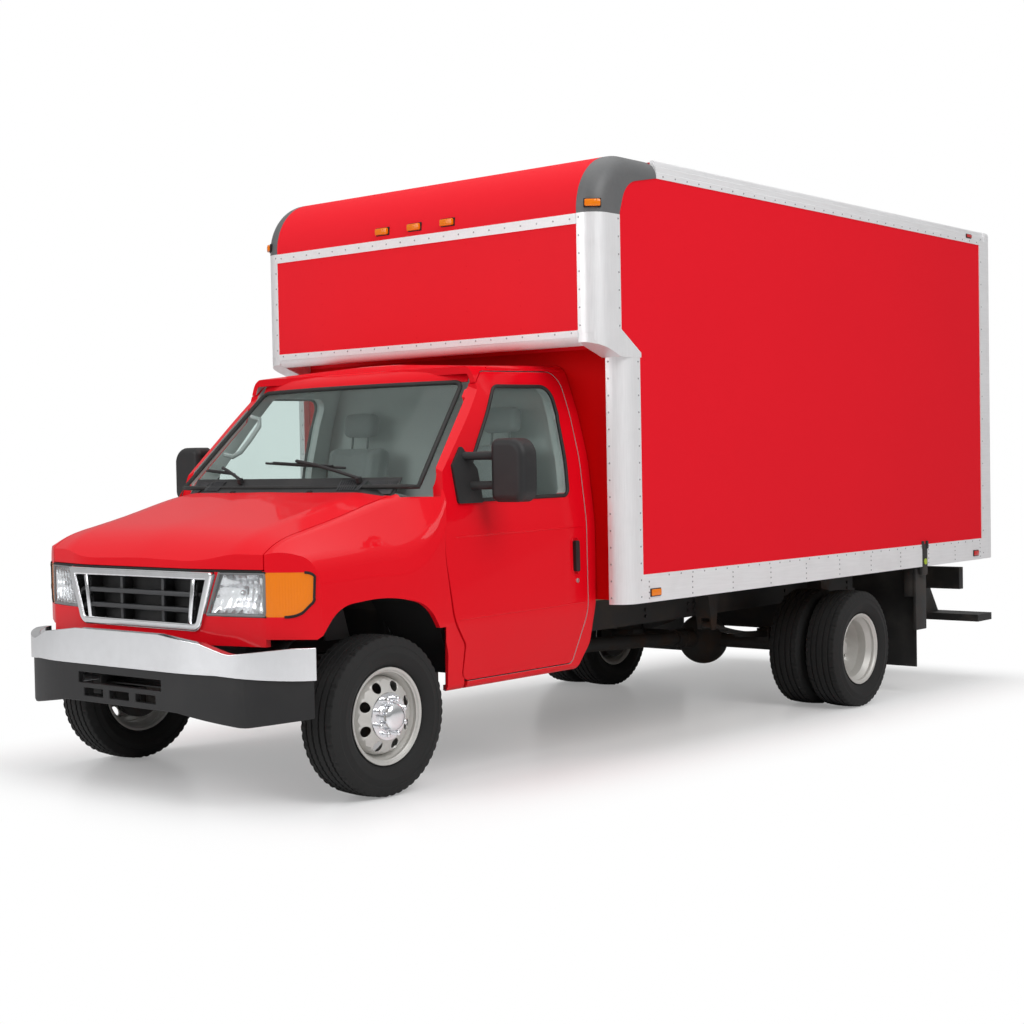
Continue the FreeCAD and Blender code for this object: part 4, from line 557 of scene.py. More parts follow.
class Form:
    """A mesh in the making, with the operators that the truck's pieces need; most hand back the form."""

    def __init__(self) -> None:
        """Start empty."""
        self.bm = bmesh.new()

    def box(self, low: Sequence[float], high: Sequence[float], edge: float = 0.0,
            turn: Matrix | None = None) -> Form:
        """Add a box.

        Args:
            low: Lowest corner.
            high: Highest corner.
            edge: Radius of its edges.
            turn: Placement applied after it is made, where it isn't square to the truck.

        Returns:
            This form.
        """
        size = [abs(b - a) for a, b in zip(low, high)]
        centre = [(a + b) / 2 for a, b in zip(low, high)]
        matrix = (turn or Matrix()) @ Matrix.Translation(centre) @ Matrix.Diagonal((*size, 1))
        made = bmesh.ops.create_cube(self.bm, size=1, matrix=matrix)
        if edge:
            self.soften({e for v in made["verts"] for e in v.link_edges}, edge)
        return self

    def soften(self, edges: Iterable[bmesh.types.BMEdge], width: float, segments: int = 2) -> Form:
        """Round the given edges.

        Args:
            edges: The edges.
            width: Radius of the rounding.
            segments: Spans across it.

        Returns:
            This form.
        """
        bmesh.ops.bevel(self.bm, geom=list(edges), offset=width, offset_type="OFFSET", segments=segments,
                        profile=0.5, affect="EDGES", clamp_overlap=True, material=-1)
        return self

    def soften_sharp(self, width: float, angle: float = 40.0) -> Form:
        """Round every edge sharper than the angle in degrees.

        Args:
            width: Radius of the rounding.
            angle: The angle.

        Returns:
            This form.
        """
        limit = math.radians(angle)
        sharp = [e for e in self.bm.edges if len(e.link_faces) == 2 and e.calc_face_angle(0) > limit]
        return self.soften(sharp, width)

    def rod(self, start: Vector, end: Vector, radius: float, sides: int = 20) -> Form:
        """Add a round bar between two points.

        Args:
            start: Middle of its first end.
            end: Middle of its other end.
            radius: Its radius.
            sides: Flats round it.

        Returns:
            This form.
        """
        run = end - start
        matrix = Matrix.Translation((start + end) / 2) @ run.to_track_quat("Z", "Y").to_matrix().to_4x4()
        bmesh.ops.create_cone(self.bm, cap_ends=True, cap_tris=False, segments=sides, radius1=radius,
                              radius2=radius, depth=run.length, matrix=matrix)
        return self

    def ball(self, centre: Vector, radius: float, flat: Sequence[float] = (1, 1, 1), sides: int = 16) -> Form:
        """Add a ball, flattened by the given factors.

        Args:
            centre: Its middle.
            radius: Its radius.
            flat: Factors along X, Y and Z.
            sides: Flats round it.

        Returns:
            This form.
        """
        matrix = Matrix.Translation(centre) @ Matrix.Diagonal((*flat, 1))
        bmesh.ops.create_uvsphere(self.bm, u_segments=sides, v_segments=sides // 2, radius=radius,
                                  matrix=matrix)
        return self

    def pushed(self, outline: Sequence[tuple[float, float]], axis: Axis, low: float, high: float) -> Form:
        """Add a solid of an outline.

        Args:
            outline: The outline's points, in the plane that the axis stands on.
            axis: Direction that it is pushed along.
            low: Offset of its first face.
            high: Offset of its other face.

        Returns:
            This form.
        """
        places = {Axis.X: lambda a, b: spot(low, a, b), Axis.Y: lambda a, b: spot(a, low, b),
                  Axis.Z: lambda a, b: spot(a, b, low)}
        face = self.bm.faces.new([self.bm.verts.new(places[axis](a, b)) for a, b in outline])
        grown = bmesh.ops.extrude_face_region(self.bm, geom=[face])
        moved = [v for v in grown["geom"] if isinstance(v, bmesh.types.BMVert)]
        bmesh.ops.translate(self.bm, verts=moved, vec=axis.value * (high - low))
        return self

    def turned(self, profile: Sequence[tuple[float, float]], centre: Vector, steps: int = 64,
               axis: Axis = Axis.Y, closed: bool = True) -> Form:
        """Add a turned form.

        Args:
            profile: Points (radius, distance along the axis).
            centre: Point on the axis that the distances start from.
            steps: Spans round the turn.
            axis: The axis of the turn.
            closed: Whether the profile's last point joins its first.

        Returns:
            This form.
        """
        arm = Axis.X.value if axis is Axis.Y else Axis.Y.value
        verts = [self.bm.verts.new(centre + arm * r + axis.value * d) for r, d in profile]
        pairs = zip(verts, verts[1:] + verts[:1]) if closed else zip(verts, verts[1:])
        edges = [self.bm.edges.new(pair) for pair in pairs]
        bmesh.ops.spin(self.bm, geom=verts + edges, cent=centre, axis=axis.value, angle=math.tau, steps=steps,
                       use_merge=True)
        return self

    def swept(self, path: Sequence[Vector], radius: float, sides: int = 12) -> Form:
        """Add a round bar with closed ends.

        Args:
            path: Points that it follows.
            radius: Its radius.
            sides: Flats round it.

        Returns:
            This form.
        """
        rings = []
        for i, point in enumerate(path):
            along = (path[min(i + 1, len(path) - 1)] - path[max(i - 1, 0)]).normalized()
            turn = along.to_track_quat("Z", "Y").to_matrix().to_4x4()
            ring = bmesh.ops.create_circle(self.bm, cap_ends=i in (0, len(path) - 1), segments=sides,
                                           radius=radius, matrix=Matrix.Translation(point) @ turn)
            rings.append([e for e in {e for v in ring["verts"] for e in v.link_edges}
                          if all(v in ring["verts"] for v in e.verts)])
        for first, second in zip(rings, rings[1:]):
            bmesh.ops.bridge_loops(self.bm, edges=first + second)
        return self

    def sheet(self, columns: int, rows: int, lay: Callable[[float, float], Vector]) -> Form:
        """Add a sheet of even spans.

        Args:
            columns: Spans along its first share.
            rows: Spans along its second share.
            lay: Function from two shares, 0 to 1, to a place.

        Returns:
            This form.
        """
        made = bmesh.ops.create_grid(self.bm, x_segments=columns, y_segments=rows, size=0.5)
        for vert in made["verts"]:
            vert.co = lay(vert.co.x + 0.5, vert.co.y + 0.5)
        return self

    def walled(self, thickness: float) -> Form:
        """Give an open skin a wall.

        Args:
            thickness: The wall's thickness.

        Returns:
            This form.
        """
        bmesh.ops.recalc_face_normals(self.bm, faces=self.bm.faces)
        bmesh.ops.solidify(self.bm, geom=self.bm.faces[:], thickness=thickness)
        return self

    def moved(self, step: Vector) -> Form:
        """Move the whole form."""
        bmesh.ops.translate(self.bm, verts=self.bm.verts, vec=step)
        return self

    def mesh(self, name: str) -> bpy.types.Mesh:
        """Turn the form into a mesh, and free it.

        Args:
            name: The mesh's name.

        Returns:
            The mesh.
        """
        mesh = bpy.data.meshes.new(name)
        self.bm.to_mesh(mesh)
        self.bm.free()
        return mesh

    def stamped(self, pattern: Form, places: Iterable[Matrix]) -> Form:
        """Add copies of a small form, which is freed.

        Args:
            pattern: The small form.
            places: Placement of each copy.

        Returns:
            This form.
        """
        stamp = pattern.mesh("stamp")
        for place in places:
            start = len(self.bm.verts)
            self.bm.from_mesh(stamp)
            self.bm.verts.ensure_lookup_table()
            bmesh.ops.transform(self.bm, matrix=place, verts=self.bm.verts[start:])
        bpy.data.meshes.remove(stamp)
        return self

    def joined(self, other: Form) -> Form:
        """Add another form as it stands, which is freed."""
        return self.stamped(other, [Matrix()])

    def mirrored(self) -> Form:
        """Add the mirror image on the truck's other side.

        Returns:
            This form.
        """
        made = bmesh.ops.duplicate(self.bm, geom=self.bm.verts[:] + self.bm.edges[:] + self.bm.faces[:])
        verts = [v for v in made["geom"] if isinstance(v, bmesh.types.BMVert)]
        faces = [f for f in made["geom"] if isinstance(f, bmesh.types.BMFace)]
        bmesh.ops.scale(self.bm, vec=(1, -1, 1), verts=verts)
        bmesh.ops.reverse_faces(self.bm, faces=faces)
        return self

    def flipped(self, side: int) -> Form:
        """Mirror the form itself when it is for the right side.

        Args:
            side: Side of the truck.

        Returns:
            This form.
        """
        if side == RIGHT:
            bmesh.ops.scale(self.bm, vec=(1, -1, 1), verts=self.bm.verts[:])
            bmesh.ops.reverse_faces(self.bm, faces=self.bm.faces[:])
        return self

    def clipped(self, point: Sequence[float], normal: Sequence[float]) -> Form:
        """Cut away what lies on the normal's side of a plane, and close the cut.

        Args:
            point: A point on the plane.
            normal: The plane's normal.

        Returns:
            This form.
        """
        geom = self.bm.verts[:] + self.bm.edges[:] + self.bm.faces[:]
        made = bmesh.ops.bisect_plane(self.bm, geom=geom, plane_co=point, plane_no=normal, clear_outer=True)
        edges = [e for e in made["geom_cut"] if isinstance(e, bmesh.types.BMEdge)]
        bmesh.ops.holes_fill(self.bm, edges=edges)
        return self


# Placing and dressing

class Bench:
    """Puts finished forms into the scene, on the bodies that carry them."""

    def __init__(self, frame: dict) -> None:
        """Read the stance from the steering axis and the front wheel's place.

        Args:
            frame: The facts of the frame that import_model hands over.
        """
        self.nodes = frame["nodes"]
        joints = {joint["name"]: joint for joint in frame["joints"]}
        axis = Vector(joints["steer_left"]["axis"])
        hub = Vector(joints["roll_front_left"]["pos_m"])
        self.pitch = math.atan2(axis.x, axis.z)
        self.hub_height = hub.z
        self.stance = (Matrix.Translation((hub.x, 0, hub.z)) @ Matrix.Rotation(self.pitch, 4, "Y")
                       @ Matrix.Translation((0, 0, -hub.z)))

    def place(self, form: Form, name: str, finish: Finish, body: str, slot: str,
              smooth: float = 35.0, replaces: Sequence[str] = ()) -> bpy.types.Object:
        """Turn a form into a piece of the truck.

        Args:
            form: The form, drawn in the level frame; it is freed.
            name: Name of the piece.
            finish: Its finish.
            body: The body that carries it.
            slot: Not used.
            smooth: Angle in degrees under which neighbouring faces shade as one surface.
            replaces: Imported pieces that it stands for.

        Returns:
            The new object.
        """
        bmesh.ops.remove_doubles(form.bm, verts=form.bm.verts, dist=0.00002)
        bmesh.ops.recalc_face_normals(form.bm, faces=form.bm.faces)
        bmesh.ops.transform(form.bm, matrix=self.stance, verts=form.bm.verts)
        return self.stand(form.mesh(name), name, finish, body, slot, smooth, replaces)

    def stand(self, mesh: bpy.types.Mesh, name: str, finish: Finish, body: str, slot: str,
              smooth: float = 35.0, replaces: Sequence[str] = ()) -> bpy.types.Object:
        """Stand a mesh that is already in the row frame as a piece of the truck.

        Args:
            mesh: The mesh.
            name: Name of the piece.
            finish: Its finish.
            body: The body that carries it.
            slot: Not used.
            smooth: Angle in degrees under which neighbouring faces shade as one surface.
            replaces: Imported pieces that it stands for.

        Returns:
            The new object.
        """
        piece = bpy.data.objects.new(name, mesh)
        bpy.context.scene.collection.objects.link(piece)
        mesh.materials.clear()
        mesh.materials.append(finish.material())
        if smooth:
            mesh.shade_smooth()
            mesh.set_sharp_from_angle(angle=math.radians(smooth))
        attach(piece, body)
        if replaces:
            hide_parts(*replaces)
        LOG.info("%s: %d faces on %s", name, len(mesh.polygons), body)
        return piece

    def keep(self, node: str, finish: Finish) -> None:
        """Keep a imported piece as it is, with a better finish.

        Args:
            node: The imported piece.
            finish: Its finish.
        """
        piece = self.nodes[node]
        piece.data.materials.clear()
        piece.data.materials.append(finish.material())
        LOG.info("%s keeps its own shape", node)

    def refined(self, node: str, finish: Finish, slot: str, edge: float) -> None:
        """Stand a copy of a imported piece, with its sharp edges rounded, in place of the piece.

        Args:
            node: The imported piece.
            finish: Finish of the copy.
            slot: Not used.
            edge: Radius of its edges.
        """
        form = Form()
        form.bm.from_mesh(self.nodes[node].data)
        bmesh.ops.remove_doubles(form.bm, verts=form.bm.verts, dist=0.00005)
        bmesh.ops.dissolve_limit(form.bm, angle_limit=math.radians(0.5), verts=form.bm.verts,
                                 edges=form.bm.edges)
        name = node + "_form"
        piece = self.stand(form.mesh(name), name, finish, self.nodes[node]["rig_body"], slot, replaces=[node])
        rounding = piece.modifiers.new("edges", "BEVEL")
        rounding.width = edge
        rounding.segments = 2
        rounding.limit_method = "ANGLE"
        rounding.angle_limit = math.radians(40)
        rounding.use_clamp_overlap = True
        rounding.harden_normals = True


# Road wheels

@dataclass
class RoadWheels:
    """Tyres with their tread, steel wheels with hand holes, and the hubs and brakes."""

    bench: Bench
    radius: float = 0.364
    width: float = 0.223
    bead: float = 0.2045
    bead_half: float = 0.078
    front_y: float = 0.881
    rear_outer_y: float = 1.080
    rear_inner_y: float = 0.820
    rear_middle: float = 0.950
    wheelbase: float = 4.013
    groove: float = 0.0115
    groove_depth: float = 0.011
    groove_slope: float = 0.0015
    groove_places: tuple[float, ...] = (-0.058, -0.021, 0.021, 0.058)
    crown_half: float = 0.088
    crown_drop: float = 0.0045
    steps: int = 156
    notch_every: int = 3
    notch_depth: float = 0.0055
    notch_band: float = 0.030
    sipe_every: int = 2
    sipe_depth: float = 0.0035
    sipe_band: float = 0.006
    lug_circle: float = 0.08255
    lugs: int = 8
    front_face: float = 0.092
    rear_face: float = 0.130
    flat_radius: float = 0.108
    shoulder: float = 0.1660
    shoulder_share: float = 0.74
    edge_share: float = 0.12
    disc_inset: float = 0.022
    disc_wall: float = 0.006
    hole_circle: float = 0.1400
    hole_radius: float = 0.0240
    hole_spans: int = 24
    hole_rows: tuple[float, ...] = (0.0, 0.35, 0.70, 0.92, 1.0)
    hole_lip: float = 0.002
    barrel: Outline = ((0.0155, -0.0885), (0.014, -0.0905), (0.004, -0.0865), (-0.002, -0.078),
                       (-0.001, -0.058),
                       (-0.018, -0.036), (-0.020, 0.026), (-0.001, 0.056), (-0.002, 0.078), (0.004, 0.0865),
                       (0.014, 0.0905), (0.0155, 0.0885), (0.0145, 0.0860), (0.0040, 0.0825), (-0.006, 0.076),
                       (-0.006, 0.060), (-0.025, 0.028), (-0.024, -0.038), (-0.006, -0.062), (-0.006, -0.076),
                       (0.0040, -0.0825), (0.0145, -0.0860))
    rotor: Outline = ((0.050, -0.075), (0.150, -0.075), (0.150, -0.048), (0.050, -0.048))
    sleeve: Outline = ((0.047, -0.050), (0.057, -0.050), (0.057, 0.086), (0.047, 0.086))
    drum: Outline = ((0.047, -0.130), (0.158, -0.130), (0.163, -0.120), (0.163, -0.020), (0.150, -0.014),
                     (0.047, -0.014))
    rear_hub: Outline = ((0.0, 0.104), (0.036, 0.104), (0.043, 0.100), (0.046, 0.092), (0.055, 0.090),
                         (0.057, 0.085), (0.058, 0.010), (0.086, 0.006), (0.104, -0.008), (0.0, -0.008))
    front_hub: Outline = ((0.0, 0.150), (0.036, 0.149), (0.050, 0.145), (0.058, 0.137), (0.0605, 0.126),
                          (0.0615, 0.104), (0.066, 0.100), (0.106, 0.097), (0.108, 0.093), (0.0, 0.093))
    nut: float = 0.0125
    nut_seat: float = 0.0155

    def build(self) -> None:
        """Make every tyre, wheel and hub."""
        front = spot(0, 0, self.bench.hub_height)
        rear = spot(-self.wheelbase * math.cos(self.bench.pitch), 0,
                    self.bench.hub_height - self.wheelbase * math.sin(self.bench.pitch))
        for side, word in SIDES.items():
            self.tyre([front + spot(0, side * self.front_y, 0)], f"tyre_front_{word}", f"wheel_front_{word}")
            places = [rear + spot(0, side * y, 0) for y in (self.rear_outer_y, self.rear_inner_y)]
            self.tyre(places, f"tyres_rear_{word}", f"wheels_rear_{word}")
            self.hub(side, word, front)
            self.brakes(side, word, front, rear)
            front_rims = Form()
            self.rim(front_rims, self.front_y, self.front_face)
            self.stand(front_rims, side, front, f"wheel_front_{word}")
            rear_rims = Form()
            self.rim(rear_rims, self.rear_outer_y, -self.rear_face)
            self.rim(rear_rims, self.rear_inner_y, self.rear_face)
            self.stand(rear_rims, side, rear, f"wheels_rear_{word}")

    def stand(self, form: Form, side: int, centre: Vector, node: str) -> None:
        """Place the steel wheels of one node.

        Args:
            form: The wheels, drawn about the left end of an axle at the origin.
            side: Side of the truck.
            centre: Middle of the axle.
            node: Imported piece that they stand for, named as the body that carries it.
        """
        form.flipped(side).moved(centre)
        self.bench.place(form, node + "_form", WHEEL_STEEL, node, "wheel_paint", 30, [node])

    def rim(self, form: Form, y: float, face: float) -> None:
        """Add one steel wheel: its rolled barrel, and the dished disc with hand holes.

        Args:
            form: Form that takes it.
            y: Middle of the wheel on the axle line.
            face: Distance of the mounting face from the middle, outwards.
        """
        form.turned([(self.bead + rise, along) for rise, along in self.barrel], spot(0, y, 0), 96)
        self.disc(form, y, face)

    def dish(self, radius: float, face: float) -> float:
        """Offset of the disc's outer skin.

        Args:
            radius: Distance from the axle.
            face: Offset of the mounting face.

        Returns:
            The offset along the axle.
        """
        if radius > self.shoulder:
            share = (radius - self.shoulder) / (self.bead - self.disc_inset - self.shoulder)
            return face * (self.shoulder_share + (self.edge_share - self.shoulder_share) * share)
        share = (radius - self.flat_radius) / (self.shoulder - self.flat_radius)
        return face * (1 + (self.shoulder_share - 1) * share)

    def disc(self, form: Form, y: float, face: float) -> None:
        """Add the dished disc, with a ring of rounded hand holes through it.

        Args:
            form: Form that takes it.
            y: Middle of the wheel on the axle line.
            face: Distance of the mounting face from the middle, outwards.
        """
        side = math.copysign(1, face)
        made = Form()
        for k in range(self.lugs):
            turn = (k + 0.5) * math.tau / self.lugs
            rows = []
            for mix in self.hole_rows:
                row = []
                for i in range(self.hole_spans):
                    radius, angle = self.disc_point(math.tau * i / self.hole_spans, mix)
                    lip = self.hole_lip if mix == self.hole_rows[-1] else 0.0
                    reach = y + self.dish(radius, face) - side * lip
                    place = spot(radius * math.cos(turn + angle), reach, radius * math.sin(turn + angle))
                    row.append(made.bm.verts.new(place))
                rows.append([made.bm.edges.new(pair) for pair in zip(row, row[1:] + row[:1])])
            for first, second in zip(rows, rows[1:]):
                bmesh.ops.bridge_loops(made.bm, edges=first + second)
        bmesh.ops.remove_doubles(made.bm, verts=made.bm.verts, dist=0.0003)
        boss = face + side * self.hole_lip
        flat = [(self.flat_radius, face), (self.flat_radius - 0.008, boss), (0.0, boss)]
        made.turned(flat, spot(0, y, 0), 96, closed=False)
        bmesh.ops.remove_doubles(made.bm, verts=made.bm.verts, dist=0.0003)
        form.joined(made.walled(self.disc_wall))

    def disc_point(self, angle: float, mix: float) -> tuple[float, float]:
        """Place on one hole's share of the disc.

        Args:
            angle: Direction from the hole's middle.
            mix: Zero on the edge of the share, one on the hole's rim.

        Returns:
            Distance from the axle, and turn from the hole's middle.
        """
        outer = self.bead - self.disc_inset
        across, up = math.sin(angle), math.cos(angle)
        scale = 1 / max(abs(across), abs(up))
        out = (self.flat_radius + outer) / 2 + (outer - self.flat_radius) / 2 * up * scale
        along = math.pi / self.lugs * across * scale
        hole_out = self.hole_circle + self.hole_radius * up
        hole_along = self.hole_radius * across / self.hole_circle
        return out + (hole_out - out) * mix, along + (hole_along - along) * mix

    def lug_places(self, offset: float) -> list[Matrix]:
        """Placements of the lug nuts, at an offset along the axle.

        Args:
            offset: The offset.

        Returns:
            The placements.
        """
        angles = (math.tau * (k + 0.5) / self.lugs for k in range(self.lugs))
        return [Matrix.Translation(spot(self.lug_circle * math.cos(a), offset, self.lug_circle * math.sin(a)))
                for a in angles]

    def brakes(self, side: int, word: str, front: Vector, rear: Vector) -> None:
        """Make the dark rotor behind the front disc, and the drum, hub and nuts of the twin wheels.

        Args:
            side: Side of the truck.
            word: Its name.
            front: Middle of the front axle.
            rear: Middle of the rear axle.
        """
        at_front, at_rear = front + spot(0, self.front_y, 0), rear + spot(0, self.rear_middle, 0)
        rotor = Form().turned(self.rotor, at_front, 64).turned(self.sleeve, at_front, 48)
        body = f"wheel_front_{word}"
        self.bench.place(rotor.flipped(side), f"rotor_{word}", AXLE_IRON, body, "axle_iron", 30)
        body = f"wheels_rear_{word}"
        drum = Form().turned(self.drum, at_rear, 64)
        self.bench.place(drum.flipped(side), f"brake_drum_{word}", AXLE_IRON, body, "axle_iron", 30)
        nut = Form().rod(spot(0, 0, 0), spot(0, 0.020, 0), self.nut, 6)
        nut.rod(spot(0, 0.020, 0), spot(0, 0.030, 0), 0.009, 12)
        hub = Form().turned(self.rear_hub, spot(0, self.rear_middle, 0), 64)
        hub.stamped(nut, self.lug_places(self.rear_middle + 0.003)).moved(rear)
        self.bench.place(hub.flipped(side), f"hub_rear_{word}", WHEEL_STEEL, body, "wheel_paint", 30)

    def hub(self, side: int, word: str, centre: Vector) -> None:
        """Make the bright hub and lug nuts of one front wheel.

        Args:
            side: Side of the truck.
            word: Its name.
            centre: Middle of the front axle.
        """
        nut = Form().rod(spot(0, 0, 0), spot(0, 0.026, 0), self.nut, 12)
        nut.ball(spot(0, 0.026, 0), self.nut, (1, 0.7, 1), 12)
        nut.rod(spot(0, -0.001, 0), spot(0, 0.008, 0), self.nut_seat, 16)
        form = Form().turned(self.front_hub, spot(0, 0, 0), 48)
        form.stamped(nut, self.lug_places(self.front_face + 0.005))
        form.flipped(side).moved(centre + spot(0, side * self.front_y, 0))
        self.bench.place(form, f"hub_front_{word}", CHROME, f"wheel_front_{word}", "chrome", 30)

    def section(self) -> list[tuple[float, float]]:
        """Half-open profile of a tyre as (radius, offset), from one bead over the tread to the other.

        Returns:
            The profile's points.
        """
        bead, top, half = self.bead, self.radius, self.width / 2
        side = [(bead, -self.bead_half), (bead + 0.012, -self.bead_half - 0.006),
                (bead + 0.022, -self.bead_half - 0.004), (bead + 0.030, -half + 0.018),
                (bead + 0.050, -half + 0.006),
                (bead + 0.075, -half), (bead + 0.078, -half - 0.0012), (bead + 0.082, -half - 0.0012),
                (bead + 0.085, -half), (top - 0.050, -half + 0.004), (top - 0.047, -half + 0.0025),
                (top - 0.042, -half + 0.0032), (top - 0.026, -half + 0.008), (top - 0.013, -half + 0.0135),
                (top - 0.007, -half + 0.0170), (top - 0.004, -self.crown_half - 0.001)]
        tread = [(self.crown(-self.crown_half), -self.crown_half)]
        for place in self.groove_places:
            low, high = place - self.groove / 2, place + self.groove / 2
            tread += [(self.crown(low), low),
                      (self.crown(low) - self.groove_depth, low + self.groove_slope),
                      (self.crown(high) - self.groove_depth, high - self.groove_slope),
                      (self.crown(high), high)]
        tread.append((self.crown(self.crown_half), self.crown_half))
        return side + tread + [(r, -d) for r, d in reversed(side)]

    def crown(self, offset: float) -> float:
        """Radius of the tread's crown at an offset."""
        return self.radius - self.crown_drop * (offset / self.crown_half) ** 2

    def tyre(self, centres: Sequence[Vector], node: str, body: str) -> None:
        """Make the tyres of one node, with notched shoulders and sipes.

        Args:
            centres: The tyres' centres.
            node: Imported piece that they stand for.
            body: Body that carries them.
        """
        form = Form()
        for centre in centres:
            ring = Form().turned(self.section(), centre, self.steps, closed=False)
            for vert in ring.bm.verts:
                arm = vert.co - centre
                offset, arm.y = arm.y, 0
                turn = round(math.atan2(arm.z, arm.x) / math.tau * self.steps)
                reach = arm.length
                shoulder = reach > self.radius - self.notch_band and abs(offset) > self.crown_half - 0.001
                rib = reach > self.radius - self.sipe_band and abs(offset) < self.crown_half
                if shoulder and turn % self.notch_every == 0:
                    arm *= (reach - self.notch_depth) / reach
                if rib and turn % self.sipe_every == 0:
                    arm *= (reach - self.sipe_depth) / reach
                vert.co = centre + arm + spot(0, offset, 0)
            form.joined(ring)
        self.bench.place(form, node + "_form", TYRE_RUBBER, body, "tyre", 30, [node])


# Details

def between(first: Sequence[float], last: Sequence[float], spans: int) -> list[tuple[float, float]]:
    """Points from the first towards the last, without the last."""
    return [(first[0] + (last[0] - first[0]) * k / spans, first[1] + (last[1] - first[1]) * k / spans)
            for k in range(spans)]


def laid(corners: Sequence[Corner], lay: Callable[[float, float], Vector], steps: int = 6,
         spans: int | None = None, spacing: float = 0.05) -> list[Vector]:
    """Closed path of an outline laid on a surface.

    Args:
        corners: Corners as rounded takes them.
        lay: Function from a place of the outline to the surface.
        steps: Spans on each rounded corner.
        spans: Spans on each side, or None to take as many as the spacing asks for.
        spacing: Distance between points.

    Returns:
        The path, which ends where it starts.
    """
    points = rounded(corners, steps)
    path = []
    for first, last in zip(points, points[1:] + points[:1]):
        count = spans or max(1, round((Vector(last) - Vector(first)).length / spacing))
        path += [lay(*point) for point in between(first, last, count)]
    return path + path[:1]


class Screen:
    """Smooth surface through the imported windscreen, carried on beyond its edges."""

    def __init__(self, glass: Surface, half: float = 0.60, low: float = 1.40, high: float = 1.87) -> None:
        """Fit the distance ahead of the axle to the height and the distance from the middle.

        Args:
            glass: Surface of the windscreen.
            half: How far the fit reaches to each side.
            low: Lowest place of the fit.
            high: Highest place of the fit.
        """
        places = [(y, z) for y in np.linspace(-half, half, 13) for z in np.linspace(low, high, 9)]
        rows = np.array([self.terms(y, z) for y, z in places])
        values = np.array([glass.ahead(y, z).x for y, z in places])
        self.factors = np.linalg.lstsq(rows, values, rcond=None)[0]

    def terms(self, y: float, z: float, middle: float = 1.6) -> list[float]:
        """Terms of the fitted surface."""
        rise = z - middle
        return [1.0, rise, rise * rise, y * y, y * y * rise, y ** 4]

    def ahead(self, y: float, z: float) -> Vector:
        """Place on the surface."""
        return spot(float(np.dot(self.factors, self.terms(y, z))), y, z)


class Surface:
    """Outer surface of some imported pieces, probed with straight rays in the level frame."""

    def __init__(self, bench: Bench, nodes: Sequence[str]) -> None:
        """Gather the pieces' meshes.

        Args:
            bench: The bench that has the pieces.
            nodes: Names of the pieces.
        """
        bm = bmesh.new()
        for node in nodes:
            bm.from_mesh(bench.nodes[node].data)
        bmesh.ops.transform(bm, matrix=bench.stance.inverted(), verts=bm.verts)
        self.tree = BVHTree.FromBMesh(bm)
        bm.free()

    def ahead(self, y: float, z: float) -> Vector:
        """The surface seen from ahead at a place of the front view."""
        hit = self.tree.ray_cast(spot(3, y, z), -Axis.X.value)[0]
        return hit or self.near(-0.6 if z > 1.25 else 0.6, y, z)

    def beside(self, x: float, z: float) -> Vector:
        """The surface seen from the left at a place of the side view."""
        return self.tree.ray_cast(spot(x, 3, z), -Axis.Y.value)[0] or self.near(x, 0.98, z)

    def above(self, x: float, y: float) -> Vector:
        """The surface seen from above at a place of the plan."""
        return self.tree.ray_cast(spot(x, y, 4), -Axis.Z.value)[0] or self.near(x, y, 1.35)

    def near(self, x: float, y: float, z: float) -> Vector:
        """The surface's nearest point to a place."""
        return self.tree.find_nearest(spot(x, y, z))[0]


